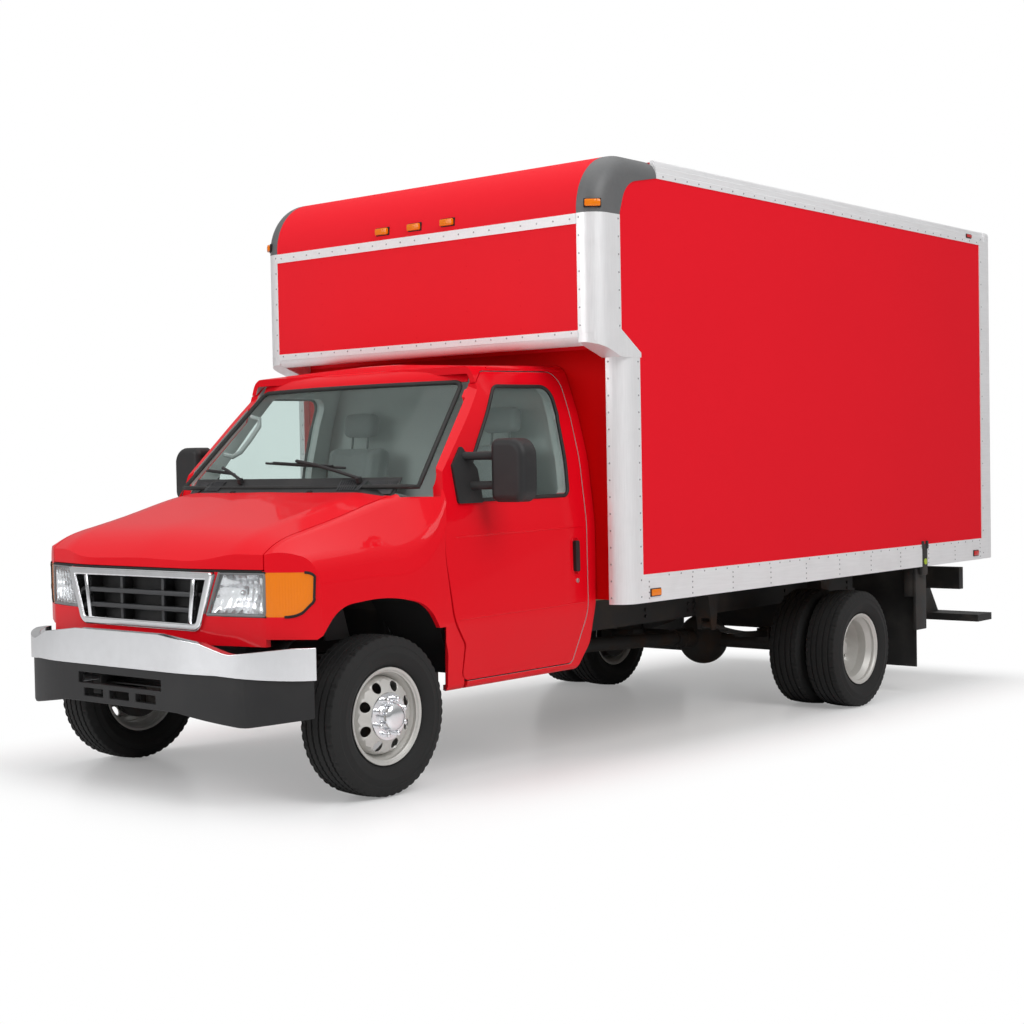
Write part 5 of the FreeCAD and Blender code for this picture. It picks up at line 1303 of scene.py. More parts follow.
@dataclass
class FrontEnd:
    """Grille bars, lamp reflectors, bezels and gaskets, and the near-black sheet and lines painted as shade
    behind the openings and in the gaps.
    """

    bench: Bench
    panel: Block = ((0.385, -0.74, 0.61), (0.415, 0.74, 1.055))
    core: Block = ((0.415, -0.45, 0.70), (0.475, 0.45, 1.02))
    panel_edge: float = 0.004
    fin: Block = ((0.475, -0.44, 0.720), (0.480, 0.44, 0.728))
    fins: int = 13
    fin_pitch: float = 0.024
    # Measures of the black rod that is painted shade in the bonnet's shut line.
    joint_half: float = 0.755
    joint_z: float = 1.0385
    joint: float = 0.0045
    bars_x: tuple[float, float] = (0.586, 0.606)
    bar_half: float = 0.385
    bar_rise: float = 0.011
    bar_heights: tuple[float, ...] = (0.860, 0.930)
    uprights_x: tuple[float, float] = (0.578, 0.594)
    uprights_z: tuple[float, float] = (0.795, 0.995)
    upright_y: float = 0.150
    upright_half: float = 0.010
    slants_x: tuple[float, float] = (0.592, 0.618)
    slants_z: tuple[float, float] = (0.795, 1.000)
    slants_y: tuple[float, float] = (0.362, 0.392)
    slant_half: float = 0.013
    lamp_z: tuple[float, float] = (0.842, 1.034)
    lamp_inner: tuple[float, float] = (0.462, 0.528)
    lamp_outer: float = 0.766
    bezel: float = 0.007
    bezel_inset: float = 0.004
    lamp_side: tuple[Corner, ...] = ((0.600, 0.842), (0.600, 1.034), (0.412, 1.034, 0.024),
                                     (0.415, 0.910, 0.060), (0.452, 0.842, 0.055))
    lamp_side_end: float = 0.598
    gasket: float = 0.006
    seam_y: tuple[float, float] = (0.540, 0.770)
    seam_spans: int = 8
    facets: tuple[int, int] = (7, 4)
    facet_spans: int = 4
    facet_depth: float = 0.0035
    bowl_gap: float = 0.012
    bowl_inner: float = 0.014
    bowl_outer: float = 0.010
    bowl_back: float = 0.016
    bowl_depth: float = 0.030
    shade_place: tuple[float, float] = (0.640, 0.945)
    shade: float = 0.016

    def build(self) -> None:
        """Make the pieces of the front end."""
        self.baffle()
        self.shut_line()
        self.bars()
        self.lamps()

    def baffle(self) -> None:
        """Radiator panel behind the grille and the gaps, in near-black that is partly painted shade for the
        dark behind the openings.
        """
        form = Form().box(*self.panel, self.panel_edge).box(*self.core, self.panel_edge)
        for k in range(self.fins):
            form.box(*(Vector(corner) + spot(0, 0, self.fin_pitch * k) for corner in self.fin))
        self.bench.place(form, "radiator_panel", BLACK_AND_GAP_SHADE, "chassis", "black_plastic")

    def shut_line(self) -> None:
        """Black rod in the shut line under the bonnet's front edge: painted shade for the gap."""
        skin = Surface(self.bench, ["front_panel", "fenders", "headlights", "grille_surround"])
        path = [skin.ahead(self.joint_half * (k / 20 - 1), self.joint_z) for k in range(41)]
        form = Form().swept(path, self.joint, 8)
        self.bench.place(form, "hood_gap_shade", BLACK_AND_GAP_SHADE, "chassis", "black_plastic", 50)

    def bars(self) -> None:
        """Grey cross bars and uprights, and the two bright slanted bars."""
        form = Form()
        back, front = self.bars_x
        for z in self.bar_heights:
            low = (back, -self.bar_half, z - self.bar_rise)
            form.box(low, (front, self.bar_half, z + self.bar_rise), 0.005)
        back, front = self.uprights_x
        low, high = self.uprights_z
        for side in SIDES:
            y = side * self.upright_y
            form.box((back, y - self.upright_half, low), (front, y + self.upright_half, high), 0.004)
        self.bench.place(form, "grille_bars", GRILLE_GREY, "chassis", "grey_plastic")
        bright = Form()
        low, high = self.slants_z
        half = self.slant_half
        for side in SIDES:
            foot, top = (side * y for y in self.slants_y)
            outline = [(foot - half, low), (foot + half, low), (top + half, high), (top - half, high)]
            bright.pushed(outline, Axis.X, *self.slants_x)
        bright.soften_sharp(0.006)
        self.bench.place(bright, "grille_slants", CHROME, "chassis", "chrome")

    def lamp_frame(self) -> list[tuple[float, float]]:
        """Front view of the left headlamp's bezel.

        Returns:
            The corners of the bezel's middle line.
        """
        inset = self.bezel_inset
        low, high = self.lamp_z[0] + inset, self.lamp_z[1] - inset
        inner_low, inner_high = (y + inset for y in self.lamp_inner)
        outer = self.lamp_outer - inset
        return [(inner_low, low), (outer, low), (outer, high), (inner_high, high)]

    def lamps(self) -> None:
        """Reflector bowls and grey bezels of the headlamps, the gaskets round both lamps, and black lines
        painted as shade in the gaps along the lamps' tops and bottoms.
        """
        skin = Surface(self.bench, ["headlights", "turn_lamps", "front_panel", "fenders"])
        for side, word in SIDES.items():
            reflector = Form()
            self.bowl(reflector, skin)
            reflector.flipped(side)
            self.bench.place(reflector, f"lamp_reflector_{word}", REFLECTOR, "chassis", "chrome", 30)
            bezel = Form().swept(laid(self.lamp_frame(), skin.ahead, spans=10), self.bezel, 8).flipped(side)
            self.bench.place(bezel, f"lamp_bezel_{word}", BEZEL_GREY, "chassis", "grey_plastic", 50)
            gasket = Form()
            outline = rounded(self.lamp_side, 8)
            gasket.swept([skin.beside(x, z) for x, z in outline if x < self.lamp_side_end], self.gasket, 8)
            # Black lines along the lamps' top and bottom edges: painted shade in the gaps there.
            for z in self.lamp_z:
                ends = [(y, z) for y in self.seam_y]
                line = [*between(*ends, self.seam_spans), ends[1]]
                gasket.swept([skin.ahead(*point) for point in line], self.joint, 8)
            gasket.flipped(side)
            self.bench.place(gasket, f"lamp_gasket_and_gap_shade_{word}", BLACK_AND_GAP_SHADE, "chassis", "black_plastic", 50)

    def bowl(self, form: Form, skin: Surface) -> None:
        """Facetted reflector just behind the lens, with the bulb's shade in it.

        Args:
            form: Form that takes it.
            skin: Surface of the lens.
        """
        columns, rows = self.facets

        def lay(u: float, v: float) -> Vector:
            """Place of the bowl at two shares of its width and height.

            Args:
                u: The first share.
                v: The second share.

            Returns:
                The place.
            """
            z = self.lamp_z[0] + self.bowl_gap + v * (self.lamp_z[1] - self.lamp_z[0] - 2 * self.bowl_gap)
            inner = self.lamp_inner[0] + (self.lamp_inner[1] - self.lamp_inner[0]) * v + self.bowl_inner
            y = inner + u * (self.lamp_outer - self.bowl_outer - inner)
            dish = self.bowl_depth * (1 - (2 * u - 1) ** 2) * (1 - (2 * v - 1) ** 2)
            ridge = abs(math.sin(u * columns * math.pi)) + abs(math.sin(v * rows * math.pi))
            return skin.ahead(y, z) - spot(self.bowl_back + dish + self.facet_depth * ridge, 0, 0)

        form.sheet(columns * self.facet_spans, rows * self.facet_spans, lay)
        form.ball(skin.ahead(*self.shade_place) - spot(self.bowl_depth, 0, 0), self.shade, (1.4, 1, 1))


@dataclass(frozen=True)
class Wiper:
    """Places of one wiper in the front view, as distances across the truck and up."""

    word: str
    pivot: float
    tip: tuple[float, float]
    ends: tuple[float, float]
    droop: float


@dataclass
class CowlAndWipers:
    """Cover of the cowl with its louvres, washer jets, the wipers, and the rubber round the windscreen."""

    bench: Bench
    half: float = 0.745
    cover_top: float = 1.425
    cover_sag: float = 0.010
    cover_wall: float = 0.003
    hood_edge: tuple[float, float] = (-0.60, 1.36)
    louvre: float = 0.003
    louvre_inner: float = 0.400
    louvre_pitch: float = 0.0135
    louvre_slant: float = 0.018
    louvre_shares: tuple[float, float] = (0.22, 0.86)
    jets: tuple[float, ...] = (0.245, -0.245)
    jet: float = 0.012
    jet_share: float = 0.12
    wipers: tuple[Wiper, ...] = (Wiper("near", 0.520, (0.060, 1.500), (-0.190, 0.390), 0.030),
                                 Wiper("far", -0.270, (-0.520, 1.472), (-0.720, -0.395), 0.020))
    wiper_share: float = 0.78
    wiper_foot: float = 0.016
    wiper_arm: float = 0.0085
    blade: float = 0.0060
    blade_back: float = 0.0055
    blade_drop: float = 0.012
    blade_spans: int = 8
    screen: tuple[Corner, ...] = ((-0.852, 1.384), (0.852, 1.384), (0.722, 1.888, 0.05),
                                  (-0.722, 1.888, 0.05))
    rubber: float = 0.012
    header_half: float = 0.745
    header_low: float = 1.890
    header_reach: float = 0.085
    header_wall: float = 0.004
    grab_low: tuple[float, float, float] = (-0.540, -0.745, 1.560)
    grab_high: tuple[float, float, float] = (-0.700, -0.705, 1.760)
    grab: float = 0.013

    def build(self) -> None:
        """Make the cowl's pieces."""
        self.hood = Surface(self.bench, ["hood"])
        self.glass = Screen(Surface(self.bench, ["windshield"]))
        self.roof = Surface(self.bench, ["cab_shell"])
        self.cover()
        self.louvres()
        for wiper in self.wipers:
            self.wiper(wiper)
        self.border()
        self.header()
        self.handle()

    def at(self, y: float, share: float) -> Vector:
        """A place on the cover.

        Args:
            y: Distance from the truck's middle.
            share: Zero on the cover's front edge, one on its rear edge.

        Returns:
            The place.
        """
        x, z = self.hood_edge
        front = self.hood.near(x, y, z) + spot(-0.012, 0, -0.003)
        rear = self.glass.ahead(y, self.cover_top) + spot(0.006, 0, 0.004)
        return front.lerp(rear, share) + spot(0, 0, -self.cover_sag * math.sin(share * math.pi))

    def cover(self) -> None:
        """Black cover from behind the bonnet up to the glass."""
        form = Form().sheet(48, 5, lambda u, v: self.at(self.half * (2 * u - 1), v)).walled(self.cover_wall)
        self.bench.place(form, "cowl_cover", BLACK_PLASTIC, "chassis", "black_plastic", 50)

    def louvres(self) -> None:
        """Slanted ribs over the outer parts of the cover, and two washer jets."""
        form = Form()
        count = int((self.half - 0.02 - self.louvre_inner) / self.louvre_pitch)
        low, high = self.louvre_shares
        rise = spot(0, 0, self.louvre)
        for side in SIDES:
            for k in range(count):
                y = side * (self.louvre_inner + self.louvre_pitch * k)
                ends = [self.at(y, low) + rise, self.at(y + side * self.louvre_slant, high) + rise]
                form.swept(ends, self.louvre, 6)
        self.bench.place(form, "cowl_louvres", GRILLE_GREY, "chassis", "black_plastic", 50)
        jets = Form()
        for y in self.jets:
            jets.ball(self.at(y, self.jet_share), self.jet, (1.5, 1.2, 1.0))
        self.bench.place(jets, "washer_jets", BLACK_AND_GAP_SHADE, "chassis", "black_plastic")

    def wiper(self, wiper: Wiper) -> None:
        """Make one wiper, lying on the glass: its foot, its arm, and the blade on its carrier.

        Args:
            wiper: Its measures.
        """
        lift = spot(0.010, 0, 0.008)
        foot = self.at(wiper.pivot, self.wiper_share)
        start = foot + spot(0.006, 0, 0.020)
        end = self.glass.ahead(*wiper.tip) + lift * 1.9
        form = Form().rod(foot, foot + spot(0.008, 0, 0.024), self.wiper_foot, 16)
        arm = [start, start.lerp(end, 0.30) + lift * 0.9, start.lerp(end, 0.65) + lift * 1.1, end]
        form.swept(arm, self.wiper_arm, 8)
        height = wiper.tip[1] - self.blade_drop + wiper.droop / 2
        ends = [(wiper.ends[0], height), (wiper.ends[1], height - wiper.droop)]
        blade = [self.glass.ahead(*point) for point in [*between(*ends, self.blade_spans), ends[1]]]
        form.swept([p + lift * 0.5 for p in blade], self.blade, 6)
        form.swept([p + lift * 1.3 for p in blade[1:-1]], self.blade_back, 6)
        self.bench.place(form, f"wiper_{wiper.word}", BLACK_PLASTIC, "chassis", "black_plastic", 50)

    def border(self) -> None:
        """Rubber strip round the windscreen."""
        form = Form().swept(laid(self.screen, self.glass.ahead), self.rubber, 8)
        self.bench.place(form, "windscreen_rubber", SEAL_RUBBER, "chassis", "black_plastic", 60)

    def header(self) -> None:
        """Red strip from the top of the glass back under the roof's front edge."""
        def lay(u: float, v: float) -> Vector:
            """Place of the strip at two shares of its length and width.

            Args:
                u: The first share.
                v: The second share.

            Returns:
                The place.
            """
            y = self.header_half * (2 * u - 1)
            low = self.glass.ahead(y, self.header_low)
            high = self.roof.above(low.x - self.header_reach, y) + spot(0, 0, -0.0015)
            return low.lerp(high, v) + spot(0.010, 0, 0.012) * math.sin(math.pi * v)

        form = Form().sheet(40, 4, lay).walled(self.header_wall)
        self.bench.place(form, "windscreen_header", CAB_RED, "chassis", "cab_paint", 60)

    def handle(self) -> None:
        """Grab handle inside the right windscreen pillar."""
        low, high = Vector(self.grab_low), Vector(self.grab_high)
        reach = spot(-0.035, 0.060, -0.020)
        path = [low, low + reach * 0.7, low.lerp(high, 0.15) + reach, low.lerp(high, 0.5) + reach * 1.05,
                low.lerp(high, 0.85) + reach, high + reach * 0.7, high]
        form = Form().swept(path, self.grab, 12)
        self.bench.place(form, "grab_handle", CABIN_PALE, "chassis", "grey_plastic", 60)


@dataclass
class CabTrim:
    """Rubber round the door glass, handle recess, keyhole, creases, drip rail and mirror glass."""

    bench: Bench
    window: tuple[Corner, ...] = ((-0.515, 1.316, 0.020), (-0.930, 1.866, 0.060), (-1.345, 1.872, 0.070),
                                  (-1.318, 1.318, 0.040))
    rubber: float = 0.010
    handle_x: float = -1.340
    handle_z: tuple[float, float] = (0.920, 1.101)
    recess_half: float = 0.026
    recess_corner: float = 0.016
    recess_lip: float = 0.004
    key_place: tuple[float, float] = (-1.354, 0.885)
    key: float = 0.012
    key_slot: float = 0.008
    creases: tuple[tuple[float, float, float], ...] = ((1.145, -0.455, -1.400), (0.760, -0.455, -1.420))
    crease_rise: float = 0.012
    crease_spans: int = 16
    crease_sunk: float = 0.003
    crease: float = 0.0052
    drip_z: float = 1.958
    drip_places: tuple[float, ...] = (-0.93, -1.0, -1.1, -1.2, -1.3, -1.4, -1.47)
    drip: float = 0.006
    mirror: tuple[Corner, ...] = ((1.078, 1.318, 0.03), (1.252, 1.318, 0.045), (1.252, 1.588, 0.07),
                                  (1.078, 1.588, 0.03))
    mirror_x: tuple[float, float] = (-0.7225, -0.7195)

    def build(self) -> None:
        """Make the trim of both doors."""
        self.skin = Surface(self.bench, ["door_left"])
        self.roof = Surface(self.bench, ["cab_shell"])
        for side, word in SIDES.items():
            self.openings(side, word)
            self.lock(side, word)
            self.lines(side, word)
            pane = Form().pushed(rounded(self.mirror, 5), Axis.X, *self.mirror_x).flipped(side)
            self.bench.place(pane, f"mirror_glass_{word}", MIRROR_FACE, f"door_{word}", "chrome")

    def openings(self, side: int, word: str) -> None:
        """Rubber round one door's glass, and the lip of its handle's recess.

        Args:
            side: Side of the truck.
            word: Its name.
        """
        rubber = Form().swept(laid(self.window, self.skin.beside, 8), self.rubber, 10).flipped(side)
        self.bench.place(rubber, f"window_rubber_{word}", SEAL_RUBBER, f"door_{word}", "black_plastic", 60)
        rear, front = self.handle_x - self.recess_half, self.handle_x + self.recess_half
        low, high = self.handle_z
        corners = ((rear, low), (front, low), (front, high), (rear, high))
        outline = rounded([(x, z, self.recess_corner) for x, z in corners], 5)
        path = [self.skin.beside(x, z) for x, z in outline + outline[:1]]
        recess = Form().swept(path, self.recess_lip, 8).flipped(side)
        self.bench.place(recess, f"handle_recess_{word}", CAB_RED, f"door_{word}", "cab_paint", 60)

    def lock(self, side: int, word: str) -> None:
        """Keyhole of one door.

        Args:
            side: Side of the truck.
            word: Its name.
        """
        face = self.skin.beside(*self.key_place)
        key = Form().rod(face - spot(0, 0.004, 0), face + spot(0, 0.004, 0), self.key, 24)
        key.rod(face + spot(0, 0.004, 0), face + spot(0, 0.0055, 0), self.key_slot, 20)
        self.bench.place(key.flipped(side), f"key_lock_{word}", HUB_STEEL, f"door_{word}", "chrome")

    def lines(self, side: int, word: str) -> None:
        """Creases along one door, and the drip rail over it.

        Args:
            side: Side of the truck.
            word: Its name.
        """
        crease = Form()
        for low, start, end in self.creases:
            ends = [(start, low), (end, low + self.crease_rise)]
            line = [*between(*ends, self.crease_spans), ends[1]]
            crease.swept([self.skin.beside(*p) - spot(0, self.crease_sunk, 0) for p in line], self.crease, 8)
        crease.flipped(side)
        self.bench.place(crease, f"door_crease_{word}", CAB_RED, f"door_{word}", "cab_paint", 60)
        rail = Form().swept([self.roof.beside(x, self.drip_z) for x in self.drip_places], self.drip, 8)
        self.bench.place(rail.flipped(side), f"drip_rail_{word}", CAB_RED, "chassis", "cab_paint", 60)


@dataclass
class CargoBox:
    """Rivets, gussets and marker lamps of the cargo box."""

    bench: Bench
    half: float = 1.219
    rivet: float = 0.0052
    panel_rivet: float = 0.0034
    post_pitch: float = 0.085
    stud_pitch: float = 0.405
    rail_pitch: float = 0.110
    frame_pitch: float = 0.160
    trim_pitch: float = 0.106
    column_pitch: float = 0.150
    nose_pitch: float = 0.118
    front_x: float = -1.630
    rear_x: float = -5.690
    nose_x: float = -1.273
    rail_front: float = -1.860
    rail_rows: tuple[float, ...] = (2.955, 0.889)
    stud_rows: tuple[float, ...] = (0.778, 0.808, 0.838, 0.864)
    lower_post: tuple[float, float] = (0.790, 1.990)
    lower_post_x: tuple[float, float] = (-1.612, -1.473)
    lower_post_y: float = 1.131
    upper_post: tuple[float, float] = (2.165, 2.700)
    upper_post_x: float = -1.460
    upper_post_y: float = 1.112
    frame_x: float = -5.715
    frame_z: tuple[float, float] = (0.80, 2.98)
    trim_half: float = 1.060
    trim_rows: tuple[float, ...] = (2.128, 2.6945)
    panel_z: tuple[float, float] = (0.95, 2.90)
    nose_columns: tuple[float, ...] = (-0.73, -0.365, 0.0, 0.365, 0.73)
    nose_z: tuple[float, float] = (2.17, 2.64)
    gusset_x: tuple[float, float] = (-1.640, -1.276)
    gusset_z: tuple[float, float] = (2.012, 2.150)
    gusset_wide: float = 0.122
    gusset_corner: float = 0.100
    lamp_rim: float = 0.004
    lamp_edge: float = 0.007
    marker: Size = (0.022, 0.090, 0.036)
    marker_z: float = 2.766
    marker_y: float = 0.240
    cap_turn: float = 40.0
    cap_reach: float = 0.098
    cap_marker: Size = (0.020, 0.080, 0.036)
    rear_lamp_x: float = -5.838
    rear_lamp_z: float = 2.945
    rear_lamp_y: float = 0.200
    rear_marker: Size = (0.020, 0.090, 0.036)

    def build(self) -> None:
        """Make the box's small pieces."""
        self.rail_rivets()
        self.panel_rivets()
        self.gussets()
        self.lamps()

    def dome(self, radius: float) -> Form:
        """One rivet head."""
        return Form().ball(spot(0, 0, 0), radius, (1, 1, 0.55), 8)

    def on_side(self, x: float, z: float, sunk: float = 0.0) -> Matrix:
        """Placement of a rivet on the left side of the box."""
        turn = Axis.Y.value.to_track_quat("Z", "Y").to_matrix().to_4x4()
        return Matrix.Translation(spot(x, self.half - sunk, z)) @ turn

    def on_front(self, x: float, y: float, z: float) -> Matrix:
        """Placement of a rivet on a face that looks forwards."""
        turn = Axis.X.value.to_track_quat("Z", "Y").to_matrix().to_4x4()
        return Matrix.Translation(spot(x, y, z)) @ turn

    def steps(self, low: float, high: float, pitch: float) -> list[float]:
        """Even places from low to high at about the pitch."""
        count = max(1, round((high - low) / pitch))
        return [low + (high - low) * k / count for k in range(count + 1)]

    def rail_rivets(self) -> None:
        """Rivets along the rails, posts and nose trims."""
        places = []
        for x in self.steps(self.rear_x + 0.04, self.rail_front, self.rail_pitch):
            places += [self.on_side(x, z) for z in self.rail_rows]
        for x in self.steps(self.rear_x + 0.03, self.front_x - 0.05, self.stud_pitch):
            places += [self.on_side(x, z) for z in self.stud_rows]
        for z in self.steps(*self.lower_post, self.post_pitch):
            places.append(self.on_side(self.lower_post_x[0], z))
            places.append(self.on_front(self.lower_post_x[1], self.lower_post_y, z))
        for z in self.steps(*self.upper_post, self.post_pitch):
            places.append(self.on_side(self.upper_post_x, z))
            places.append(self.on_front(self.nose_x, self.upper_post_y, z))
        places += [self.on_side(self.frame_x, z) for z in self.steps(*self.frame_z, self.frame_pitch)]
        form = Form().stamped(self.dome(self.rivet), places).mirrored()
        middle = [self.on_front(self.nose_x + 0.004, y, z)
                  for y in self.steps(-self.trim_half, self.trim_half, self.trim_pitch)
                  for z in self.trim_rows]
        form.stamped(self.dome(self.rivet), middle)
        self.bench.place(form, "rail_rivets", RIVET_METAL, "chassis", "aluminium")

    def panel_rivets(self) -> None:
        """Painted rivets in columns on the side panels and the nose."""
        places = [self.on_side(x, z, 0.004)
                  for x in self.steps(self.rear_x + 0.03, self.front_x - 0.05, self.stud_pitch)
                  for z in self.steps(*self.panel_z, self.column_pitch)]
        form = Form().stamped(self.dome(self.panel_rivet), places).mirrored()
        nose = [self.on_front(self.nose_x, y, z)
                for y in self.nose_columns for z in self.steps(*self.nose_z, self.nose_pitch)]
        form.stamped(self.dome(self.panel_rivet), nose)
        self.bench.place(form, "panel_rivets", BOX_RED, "chassis", "box_paint")

    def gussets(self) -> None:
        """Bright pieces that carry the lower posts forward to the overhang's posts."""
        rear, front = self.gusset_x
        inner, outer = self.half - self.gusset_wide, self.half + 0.0015
        bend = (front, outer, self.gusset_corner)
        plan = rounded([(rear, inner), (front, inner), bend, (rear, outer)], 10)
        form = Form().pushed(plan, Axis.Z, *self.gusset_z)
        form.clipped((-1.470, 0, self.gusset_z[0]), (0.33, 0, -0.944))
        form.clipped((rear, 0, self.gusset_z[0] + 0.024), (-0.557, 0, 0.830))
        self.bench.place(form.mirrored(), "post_gussets", POST_METAL, "chassis", "aluminium", 40)

    def lamp(self, matrix: Matrix, size: Size, base: Form, lens: Form) -> None:
        """Add one marker lamp: a lens with rounded edges on its dark base.

        Args:
            matrix: Its placement, with X as its outward direction.
            size: How far it stands out, its width and its height.
            base: Form that takes the base.
            lens: Form that takes the lens.
        """
        deep, wide, tall = size[0], size[1] / 2, size[2] / 2
        rim = self.lamp_rim
        base.box((-0.006, -wide - rim, -tall - rim), (0.005, wide + rim, tall + rim), 0.002, matrix)
        lens.box((0.003, -wide, -tall), (deep, wide, tall), self.lamp_edge, matrix)

    def seat(self, x: float, y: float, z: float, degrees: float, side: int = LEFT) -> Matrix:
        """Placement of a lamp that looks out at an angle from straight ahead.

        Args:
            x: Its place along the truck.
            y: Its distance from the truck's middle.
            z: Its height.
            degrees: Angle that it looks out at, towards its own side.
            side: Side of the truck.

        Returns:
            The placement.
        """
        turn = Matrix.Rotation(side * math.radians(degrees), 4, "Z")
        return Matrix.Translation(spot(x, side * y, z)) @ turn

    def lamps(self) -> None:
        """Amber and red marker lamps on the nose, caps, rails and rear corners."""
        base, amber, red = Form(), Form(), Form()
        for y in (-self.marker_y, 0.0, self.marker_y):
            self.lamp(self.seat(self.nose_x - 0.002, y, self.marker_z, 0), self.marker, base, amber)
        turn = math.radians(self.cap_turn)
        cap = spot(self.nose_x - 0.1, self.half - 0.1, self.marker_z)
        cap += spot(math.cos(turn), math.sin(turn), 0) * self.cap_reach
        rear = self.rear_lamp_x
        for side in SIDES:
            for (x, y, z), degrees, size, lens in (
                    (cap, self.cap_turn, self.cap_marker, amber),
                    ((-1.734, self.half, 0.806), 90, (0.012, 0.084, 0.034), amber),
                    ((-5.587, self.half, 0.804), 90, (0.012, 0.072, 0.034), red),
                    ((-5.532, self.half - 0.005, 2.988), 90, (0.012, 0.072, 0.020), red),
                    ((rear, 0.98, self.rear_lamp_z), 180, self.rear_marker, red),
                    ((rear, 0.98, 0.800), 180, (0.022, 0.190, 0.062), red)):
                self.lamp(self.seat(x, y, z, degrees, side), size, base, lens)
        for y in (-self.rear_lamp_y, 0.0, self.rear_lamp_y):
            self.lamp(self.seat(rear, y, self.rear_lamp_z, 180), self.rear_marker, base, red)
        self.bench.place(base, "marker_bases", BLACK_AND_GAP_SHADE, "chassis", "black_plastic")
        self.bench.place(amber, "marker_lenses_amber", LAMP_AMBER, "chassis", "lamp_amber", 40,
                         ["marker_lamps"])
        self.bench.place(red, "marker_lenses_red", LAMP_RED, "chassis", "lamp_amber", 40)


@dataclass
class RearEnd:
    """Rivets and latch of the roll-up door, and the dark pieces below the box."""

    bench: Bench
    door_x: float = -5.810
    low: float = 0.900
    high: float = 2.860
    panels: int = 7
    rivet: float = 0.006
    rivet_columns: tuple[float, ...] = (-1.03, -0.52, 0.0, 0.52, 1.03)
    rivet_half_pair: float = 0.022
    rivet_margin: float = 0.035
    latch_plate: Block = ((-0.030, -0.035, 1.03), (-0.022, 0.035, 1.10))
    latch_path: tuple[Size, ...] = ((-0.034, -0.11, 1.075), (-0.040, -0.10, 1.060), (-0.040, 0.0, 1.058),
                                    (-0.034, 0.02, 1.066))
    latch: float = 0.008
    catch: tuple[tuple[Block, float], ...] = (
        (((-4.885, 1.168, 0.340), (-4.735, 1.190, 0.800)), 0.004),
        (((-4.850, 1.190, 0.700), (-4.770, 1.222, 0.905)), 0.010),
        (((-4.800, 1.100, 0.560), (-4.740, 1.170, 0.790)), 0.004),
        (((-4.850, 1.186, 0.872), (-4.828, 1.228, 0.925)), 0.004),
        (((-4.792, 1.186, 0.872), (-4.770, 1.228, 0.925)), 0.004))
    dot_place: Size = (-4.810, 1.220, 0.790)
    dot: float = 0.020
    dot_deep: float = 0.006
    bolt_y: float = 0.430
    bolt_places: tuple[float, ...] = (-2.05, -2.12, -2.75, -3.2, -3.26, -3.4, -4.35, -4.75, -5.2, -5.55)
    bolt_rows: tuple[float, ...] = (0.560, 0.600, 0.650)
    front_bolts: tuple[float, ...] = (-1.0, -1.05)
    front_bolt_z: float = 0.470
    bolt: float = 0.011
    bolt_deep: float = 0.009

    def build(self) -> None:
        """Make the rear end's pieces."""
        tall = (self.high - self.low) / self.panels
        heights = [self.low + k * tall + rise for k in range(self.panels)
                   for rise in (self.rivet_margin, tall - self.rivet_margin)]
        places = [Matrix.Translation(spot(self.door_x, y + pair, z)) for z in heights
                  for y in self.rivet_columns for pair in (-self.rivet_half_pair, self.rivet_half_pair)]
        rivets = Form().stamped(Form().ball(spot(0, 0, 0), self.rivet, (0.5, 1, 1), 8), places)
        self.bench.place(rivets, "rear_door_rivets", RIVET_METAL, "chassis", "aluminium")
        face = spot(self.door_x, 0, 0)
        latch = Form().box(*(face + Vector(corner) for corner in self.latch_plate), 0.003)
        latch.swept([face + Vector(point) for point in self.latch_path], self.latch, 10)
        self.bench.place(latch, "rear_door_latch", HUB_STEEL, "chassis", "aluminium")
        self.under()

    def under(self) -> None:
        """Catch plate beside the left twin wheels, and the bolts of the rails."""
        plate = Form()
        for block, edge in self.catch:
            plate.box(*block, edge)
        self.bench.place(plate, "catch_plate", CHASSIS_BLACK, "chassis", "chassis_black")
        middle = Vector(self.dot_place)
        dot = Form().rod(middle, middle + spot(0, self.dot_deep, 0), self.dot, 24)
        self.bench.place(dot, "catch_indicator", YELLOW_GREEN, "chassis", "grey_plastic")
        places = [spot(x, self.bolt_y, self.front_bolt_z) for x in self.front_bolts]
        places += [spot(x, self.bolt_y, z) for x in self.bolt_places for z in self.bolt_rows]
        bolt = Form().rod(spot(0, 0, 0), spot(0, self.bolt_deep, 0), self.bolt, 6)
        form = Form().stamped(bolt, [Matrix.Translation(place) for place in places]).mirrored()
        self.bench.place(form, "rail_bolts", CHASSIS_BLACK, "chassis", "chassis_black")


@dataclass(frozen=True)
class Pad:
    """One padded form of a seat: its place, its size before it swells, its lean and its edges' radius."""

    name: str
    centre: Size
    size: Size
    lean: float
    edge: float


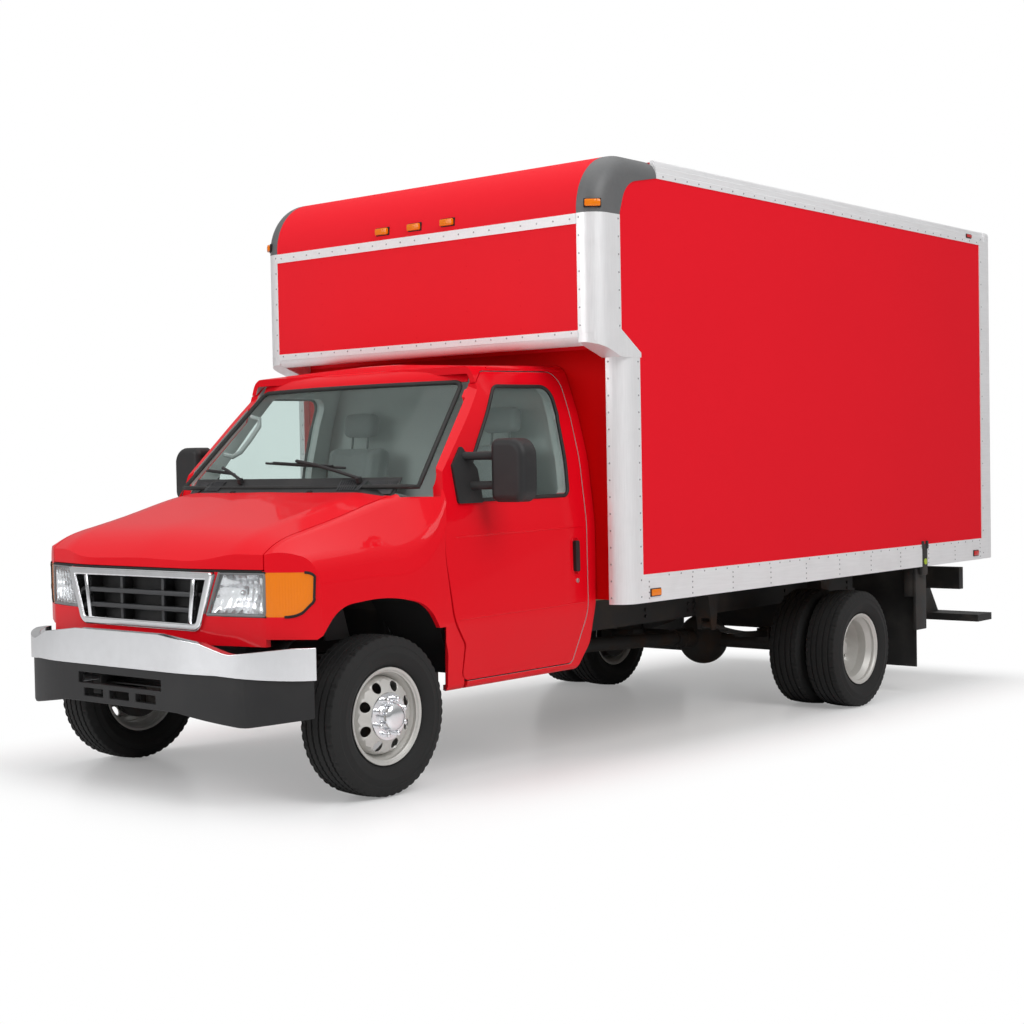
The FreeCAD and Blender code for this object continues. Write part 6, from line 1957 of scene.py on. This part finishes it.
@dataclass
class Cabin:
    """Seats with simulated padding, and the steering wheel."""

    bench: Bench
    seat_y: float = 0.520
    pads: tuple[Pad, ...] = (Pad("cushion", (-1.045, 0, 0.998), (0.47, 0.45, 0.115), -3.0, 0.045),
                             Pad("back", (-1.300, 0, 1.340), (0.105, 0.45, 0.52), -9.5, 0.045),
                             Pad("headrest", (-1.357, 0, 1.712), (0.080, 0.235, 0.135), -9.5, 0.032))
    fill: float = 0.7
    voxel: float = 0.009
    frames: int = 20
    pressure: float = 4.0
    quality: int = 4
    swell: float = 0.016
    sewn_width: float = 0.3
    seam_share: float = 0.29
    seam: float = 0.010
    seam_depth: float = 0.09
    seam_fade: float = 0.06
    seam_reach: float = 0.05
    post: float = 0.006
    post_half: float = 0.060
    post_foot: Size = (-1.338, 0, 1.575)
    post_top: Size = (-1.352, 0, 1.670)
    base: Block = ((-1.330, -0.20, 0.932), (-0.850, 0.20, 0.962))
    wheel_place: Size = (-0.755, 0.430, 1.235)
    wheel_tilt: float = 58.0
    wheel_radius: float = 0.190
    wheel_rim: float = 0.014
    spokes: tuple[Block, ...] = (((-0.050, -0.185, -0.022), (0.020, 0.185, -0.008)),
                                 ((-0.185, -0.020, -0.022), (-0.030, 0.020, -0.008)))
    wheel_pad: Block = ((-0.085, -0.075, -0.030), (0.055, 0.075, 0.004))
    column: float = 0.034
    column_ends: tuple[float, float] = (-0.230, -0.028)

    def build(self) -> None:
        """Make the seats and the steering wheel."""
        nodes = ["seats"]
        for pad in self.pads:
            mesh = self.padding(pad)
            for side, word in SIDES.items():
                shape = mesh.copy()
                centre = Vector(pad.centre) + spot(0, side * self.seat_y, 0)
                shape.transform(self.bench.stance @ Matrix.Translation(centre)
                                @ Matrix.Rotation(math.radians(pad.lean), 4, "Y"))
                name = f"seat_{pad.name}_{word}"
                piece = self.bench.stand(shape, name, SEAT_CLOTH, "chassis", "seat_cloth", 0, nodes)
                nodes = []
                shape.shade_smooth()
            bpy.data.meshes.remove(mesh)
        self.stays()
        self.steering()

    def padding(self, pad: Pad) -> bpy.types.Mesh:
        """Swollen and sewn form of a pad, about the origin.

        Args:
            pad: The pad.

        Returns:
            Its mesh.
        """
        form = Form().box([-s / 2 for s in pad.size], [s / 2 for s in pad.size], pad.edge)
        mesh = form.mesh("pad_" + pad.name)
        piece = bpy.data.objects.new(mesh.name, mesh)
        bpy.context.scene.collection.objects.link(piece)
        remesh = piece.modifiers.new("remesh", "REMESH")
        remesh.mode = "VOXEL"
        remesh.voxel_size = self.voxel * 1
        made = self.applied(piece)
        made = self.swollen(piece, made)
        if pad.size[1] > self.sewn_width:
            self.sew(made, pad.size[1])
        bpy.data.objects.remove(piece)
        return made

    def swollen(self, piece: bpy.types.Object, start: bpy.types.Mesh) -> bpy.types.Mesh:
        """Blow a pad up as cloth, with its movement capped.

        Args:
            piece: The pad.
            start: Its mesh before.

        Returns:
            Its mesh after.
        """
        settings = piece.modifiers.new("cloth", "CLOTH").settings
        settings.use_pressure = True
        settings.uniform_pressure_force = self.pressure
        settings.effector_weights.gravity = 0
        settings.quality = self.quality
        for frame in range(1, self.frames + 1):
            bpy.context.scene.frame_set(frame)
        rest = [v.co.copy() for v in start.vertices]
        made = self.applied(piece)
        for vert, place in zip(made.vertices, rest):
            move = vert.co - place
            if move.length > self.swell:
                vert.co = place + move.normalized() * self.swell
        bpy.context.scene.frame_set(1)
        return made

    def sew(self, mesh: bpy.types.Mesh, width: float) -> None:
        """Press two sewn channels into a pad of the given width.

        Args:
            mesh: The pad's mesh.
            width: The pad's width.
        """
        for vert in mesh.vertices:
            across = min(abs(abs(vert.co.y) - width * self.seam_share), self.seam_reach)
            groove = self.seam_depth * math.exp(-(across / self.seam) ** 2)
            vert.co *= 1 - groove * min(1.0, self.seam_fade / max(abs(vert.co.y), self.seam_reach))

    def applied(self, piece: bpy.types.Object) -> bpy.types.Mesh:
        """Give a piece the mesh that its modifiers make, and drop them.

        Args:
            piece: The piece.

        Returns:
            The new mesh.
        """
        graph = bpy.context.evaluated_depsgraph_get()
        mesh = bpy.data.meshes.new_from_object(piece.evaluated_get(graph))
        piece.modifiers.clear()
        piece.data = mesh
        return mesh

    def stays(self) -> None:
        """Posts of the headrests, and the seats' hard bases."""
        posts, bases = Form(), Form()
        for side in SIDES:
            seat = spot(0, side * self.seat_y, 0)
            for y in (-self.post_half, self.post_half):
                foot, top = (Vector(end) + seat + spot(0, y, 0) for end in (self.post_foot, self.post_top))
                posts.rod(foot, top, self.post, 10)
            bases.box(*(Vector(corner) + seat for corner in self.base), 0.010)
        self.bench.place(posts, "headrest_posts", CABIN_GREY, "chassis", "grey_plastic")
        self.bench.place(bases, "seat_bases", CABIN_GREY, "chassis", "grey_plastic")

    def steering(self) -> None:
        """Rim, spokes, pad and column of the steering wheel."""
        turns = [math.tau * k / 12 for k in range(12)]
        section = [(self.wheel_radius + self.wheel_rim * math.cos(a), self.wheel_rim * math.sin(a))
                   for a in turns]
        form = Form().turned(section, spot(0, 0, 0), 56, Axis.Z)
        for spoke in self.spokes:
            form.box(*spoke, 0.006)
        form.box(*self.wheel_pad, 0.016)
        form.rod(*(spot(0, 0, z) for z in self.column_ends), self.column, 24)
        lean = math.radians(self.wheel_tilt)
        normal = spot(-math.cos(lean), 0, math.sin(lean))
        across = Axis.Y.value
        turn = Matrix((across.cross(normal), across, normal)).transposed().to_4x4()
        bmesh.ops.transform(form.bm, matrix=Matrix.Translation(self.wheel_place) @ turn, verts=form.bm.verts)
        self.bench.place(form, "steering_wheel_form", CABIN_GREY, "chassis", "grey_plastic", 40,
                         ["steering_wheel"])


# Studio

@dataclass(frozen=True)
class Lamp:
    """A square soft lamp: its name, its place, the point that it is aimed at, its size and its power."""

    name: str
    place: Size
    aim: Size
    size: float
    power: float


@dataclass
class Studio:
    """White floor, soft lamps and the camera at the photograph's viewing angle."""

    camera_place: tuple[float, float, float] = (8.018, 6.1791, 1.3859)
    yaw: float = 219.993
    tilt: float = -0.859
    roll: float = -0.346
    focal_px: float = 1665.707
    frame_px: float = 1024.0
    sensor: float = 36.0
    floor_half: float = 60.0
    plan_half: tuple[float, float] = (3.1, 1.00)
    lift: float = 0.24
    fade: tuple[float, float] = (0.0, 0.95)
    floor_colour: Colour = (0.90, 0.90, 0.905)
    lamps: tuple[Lamp, ...] = (Lamp("key", (3.0, 9.0, 8.5), (0.6, 0.9, 0.9), 6.0, 520),
                               Lamp("front", (11.0, -3.0, 5.0), (2.0, 0, 1.2), 6.0, 340),
                               Lamp("top", (0.0, 0.0, 10.0), (0, 0, 0), 9.0, 270))

    def build(self) -> None:
        """Set the stage."""
        self.camera()
        self.world()
        self.floor()
        for lamp in self.lamps:
            self.hang(lamp)

    def camera(self) -> None:
        """Stand the camera."""
        yaw, tilt, roll = (math.radians(a) for a in (self.yaw, self.tilt, self.roll))
        ahead = spot(math.cos(yaw) * math.cos(tilt), math.sin(yaw) * math.cos(tilt), math.sin(tilt))
        across = spot(math.sin(yaw), -math.cos(yaw), 0)
        up = across.cross(ahead)
        right = across * math.cos(roll) + up * math.sin(roll)
        top = up * math.cos(roll) - across * math.sin(roll)
        data = bpy.data.cameras.new("camera")
        data.sensor_width = self.sensor
        data.lens = self.focal_px / self.frame_px * self.sensor
        data.clip_end = 200
        camera = bpy.data.objects.new("camera", data)
        turn = Matrix((right, top, -ahead)).transposed().to_4x4()
        camera.matrix_world = Matrix.Translation(self.camera_place) @ turn
        bpy.context.scene.collection.objects.link(camera)
        bpy.context.scene.camera = camera
        bpy.context.scene.view_settings.view_transform = "Standard"

    def world(self) -> None:
        """Soft light from all round, seen as plain white."""
        world = bpy.data.worlds.new("studio")
        bpy.context.scene.world = world
        g = Graph(world)
        seen = g.add("LightPath", out="Is Camera Ray")
        glossy = g.add("LightPath", out="Is Glossy Ray")
        through = g.add("LightPath", out="Is Transmission Ray")
        white = g.maths("MAXIMUM", seen, through)
        _, _, up = g.parts("Generated")
        dome = g.within(up, -0.1, 0.9) * 0.45 + 0.35
        level = g.maths("MAXIMUM", white, dome * (0.72 + glossy * 0.10))
        back = g.add("Background", inputs={"Color": (1, 1, 1), "Strength": level})
        g.add("OutputWorld", inputs={"Surface": back})

    def floor(self) -> None:
        """A white floor that keeps the truck's shadow and a faint mirror image."""
        span = self.floor_half * 2
        sheet = Form().sheet(1, 1, lambda u, v: spot(span * (u - 0.5), span * (v - 0.5), 0))
        mesh = sheet.mesh("studio_floor")
        g = Graph(bpy.data.materials.new("studio_floor"))
        diffuse = g.add("BsdfPrincipled", inputs={
            "Base Color": self.floor_colour, "Roughness": 0.25, "Specular IOR Level": 0.30})
        along, across, _ = g.parts()
        beyond = [g.maths("MAXIMUM", g.maths("ABSOLUTE", value) - half, 0.0)
                  for value, half in ((along, self.plan_half[0]), (across, self.plan_half[1]))]
        far = g.within(g.maths("SQRT", beyond[0] * beyond[0] + beyond[1] * beyond[1]), *self.fade)
        glow = g.add("Emission", inputs={"Color": (1, 1, 1), "Strength": 1.0})
        through = g.add("LightPath", out="Is Transmission Ray")
        seen = g.maths("MAXIMUM", g.add("LightPath", out="Is Camera Ray"), through)
        lift = g.add("Emission", inputs={"Color": (1, 1, 1), "Strength": seen * self.lift})
        lit = g.add("AddShader", inputs={0: diffuse, 1: lift})
        mixed = g.add("MixShader", inputs={0: seen * far, 1: lit, 2: glow})
        g.add("OutputMaterial", inputs={"Surface": mixed})
        floor = bpy.data.objects.new("studio_floor", mesh)
        mesh.materials.append(g.owner)
        bpy.context.scene.collection.objects.link(floor)

    def hang(self, lamp: Lamp) -> None:
        """Hang one soft lamp, aimed at its point.

        Args:
            lamp: The lamp.
        """
        data = bpy.data.lights.new(lamp.name, "AREA")
        data.shape = "SQUARE"
        data.size = lamp.size
        data.energy = lamp.power
        hung = bpy.data.objects.new(lamp.name, data)
        turn = (Vector(lamp.aim) - Vector(lamp.place)).to_track_quat("-Z", "Y").to_matrix().to_4x4()
        hung.matrix_world = Matrix.Translation(lamp.place) @ turn
        bpy.context.scene.collection.objects.link(hung)


KEPT: dict[str, Finish] = {
    "cab_shell": LINED_RED, "fenders": CAB_RED, "hood": CAB_RED, "door_left": LINED_RED,
    "door_right": LINED_RED, "front_panel": CAB_RED, "cowl": BLACK_PLASTIC, "windshield": SCREEN_GLASS,
    "grille_insert": BLACK_PLASTIC, "headlights": LAMP_CLEAR, "turn_lamps": LAMP_AMBER,
    "dashboard": CABIN_GREY,
    "door_glass_left": WINDOW_GLASS, "door_glass_right": WINDOW_GLASS, "door_fittings_left": BLACK_PLASTIC,
    "door_fittings_right": BLACK_PLASTIC, "side_walls": BOX_RED, "box_front": NOSE_RED, "box_roof": BOX_RED,
    "corner_posts": POST_METAL, "nose_trim": WHITE_RAIL, "bottom_rails": WHITE_RAIL, "roof_rails": WHITE_RAIL,
    "corner_caps": CAP_GREY, "rear_frame": WHITE_RAIL, "rollup_door": DOOR_ALUMINIUM,
    "rear_step": CHASSIS_BLACK, "mud_flaps": FLAP_RUBBER, "cargo_floor": DECK_WOOD,
    "cab_floor": CHASSIS_BLACK, "frame_rails": CHASSIS_BLACK, "crossmembers": CHASSIS_BLACK,
    "front_axle": AXLE_IRON, "rear_axle": AXLE_IRON,
    "driveline": AXLE_IRON, "powertrain": AXLE_IRON, "exhaust": EXHAUST_STEEL, "fuel_tank": CHASSIS_BLACK,
    # wheel_houses take the near-black, darker than the chassis black, partly as painted shade in the arches.
    "wheel_houses": BLACK_AND_GAP_SHADE, "knuckle_left": AXLE_IRON, "knuckle_right": AXLE_IRON,
}


ROUNDED: dict[str, tuple[Finish, str, float]] = {
    "front_bumper": (CHROME, "chrome", 0.012), "front_valance": (VALANCE_GREY, "valance_grey", 0.012),
    "grille_surround": (CHROME, "chrome", 0.008),
}


def main() -> None:
    """Dress the truck, piece by piece."""
    logging.basicConfig(level=logging.INFO, format="%(name)s: %(message)s")
    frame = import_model()
    bench = Bench(frame)
    for node, finish in KEPT.items():
        bench.keep(node, finish)
    for node, (finish, slot, edge) in ROUNDED.items():
        bench.refined(node, finish, slot, edge)
    RoadWheels(bench).build()
    for group in (FrontEnd, CowlAndWipers, CabTrim, CargoBox, RearEnd, Cabin):
        group(bench).build()
    Studio().build()


if __name__ == "__main__":
    main()
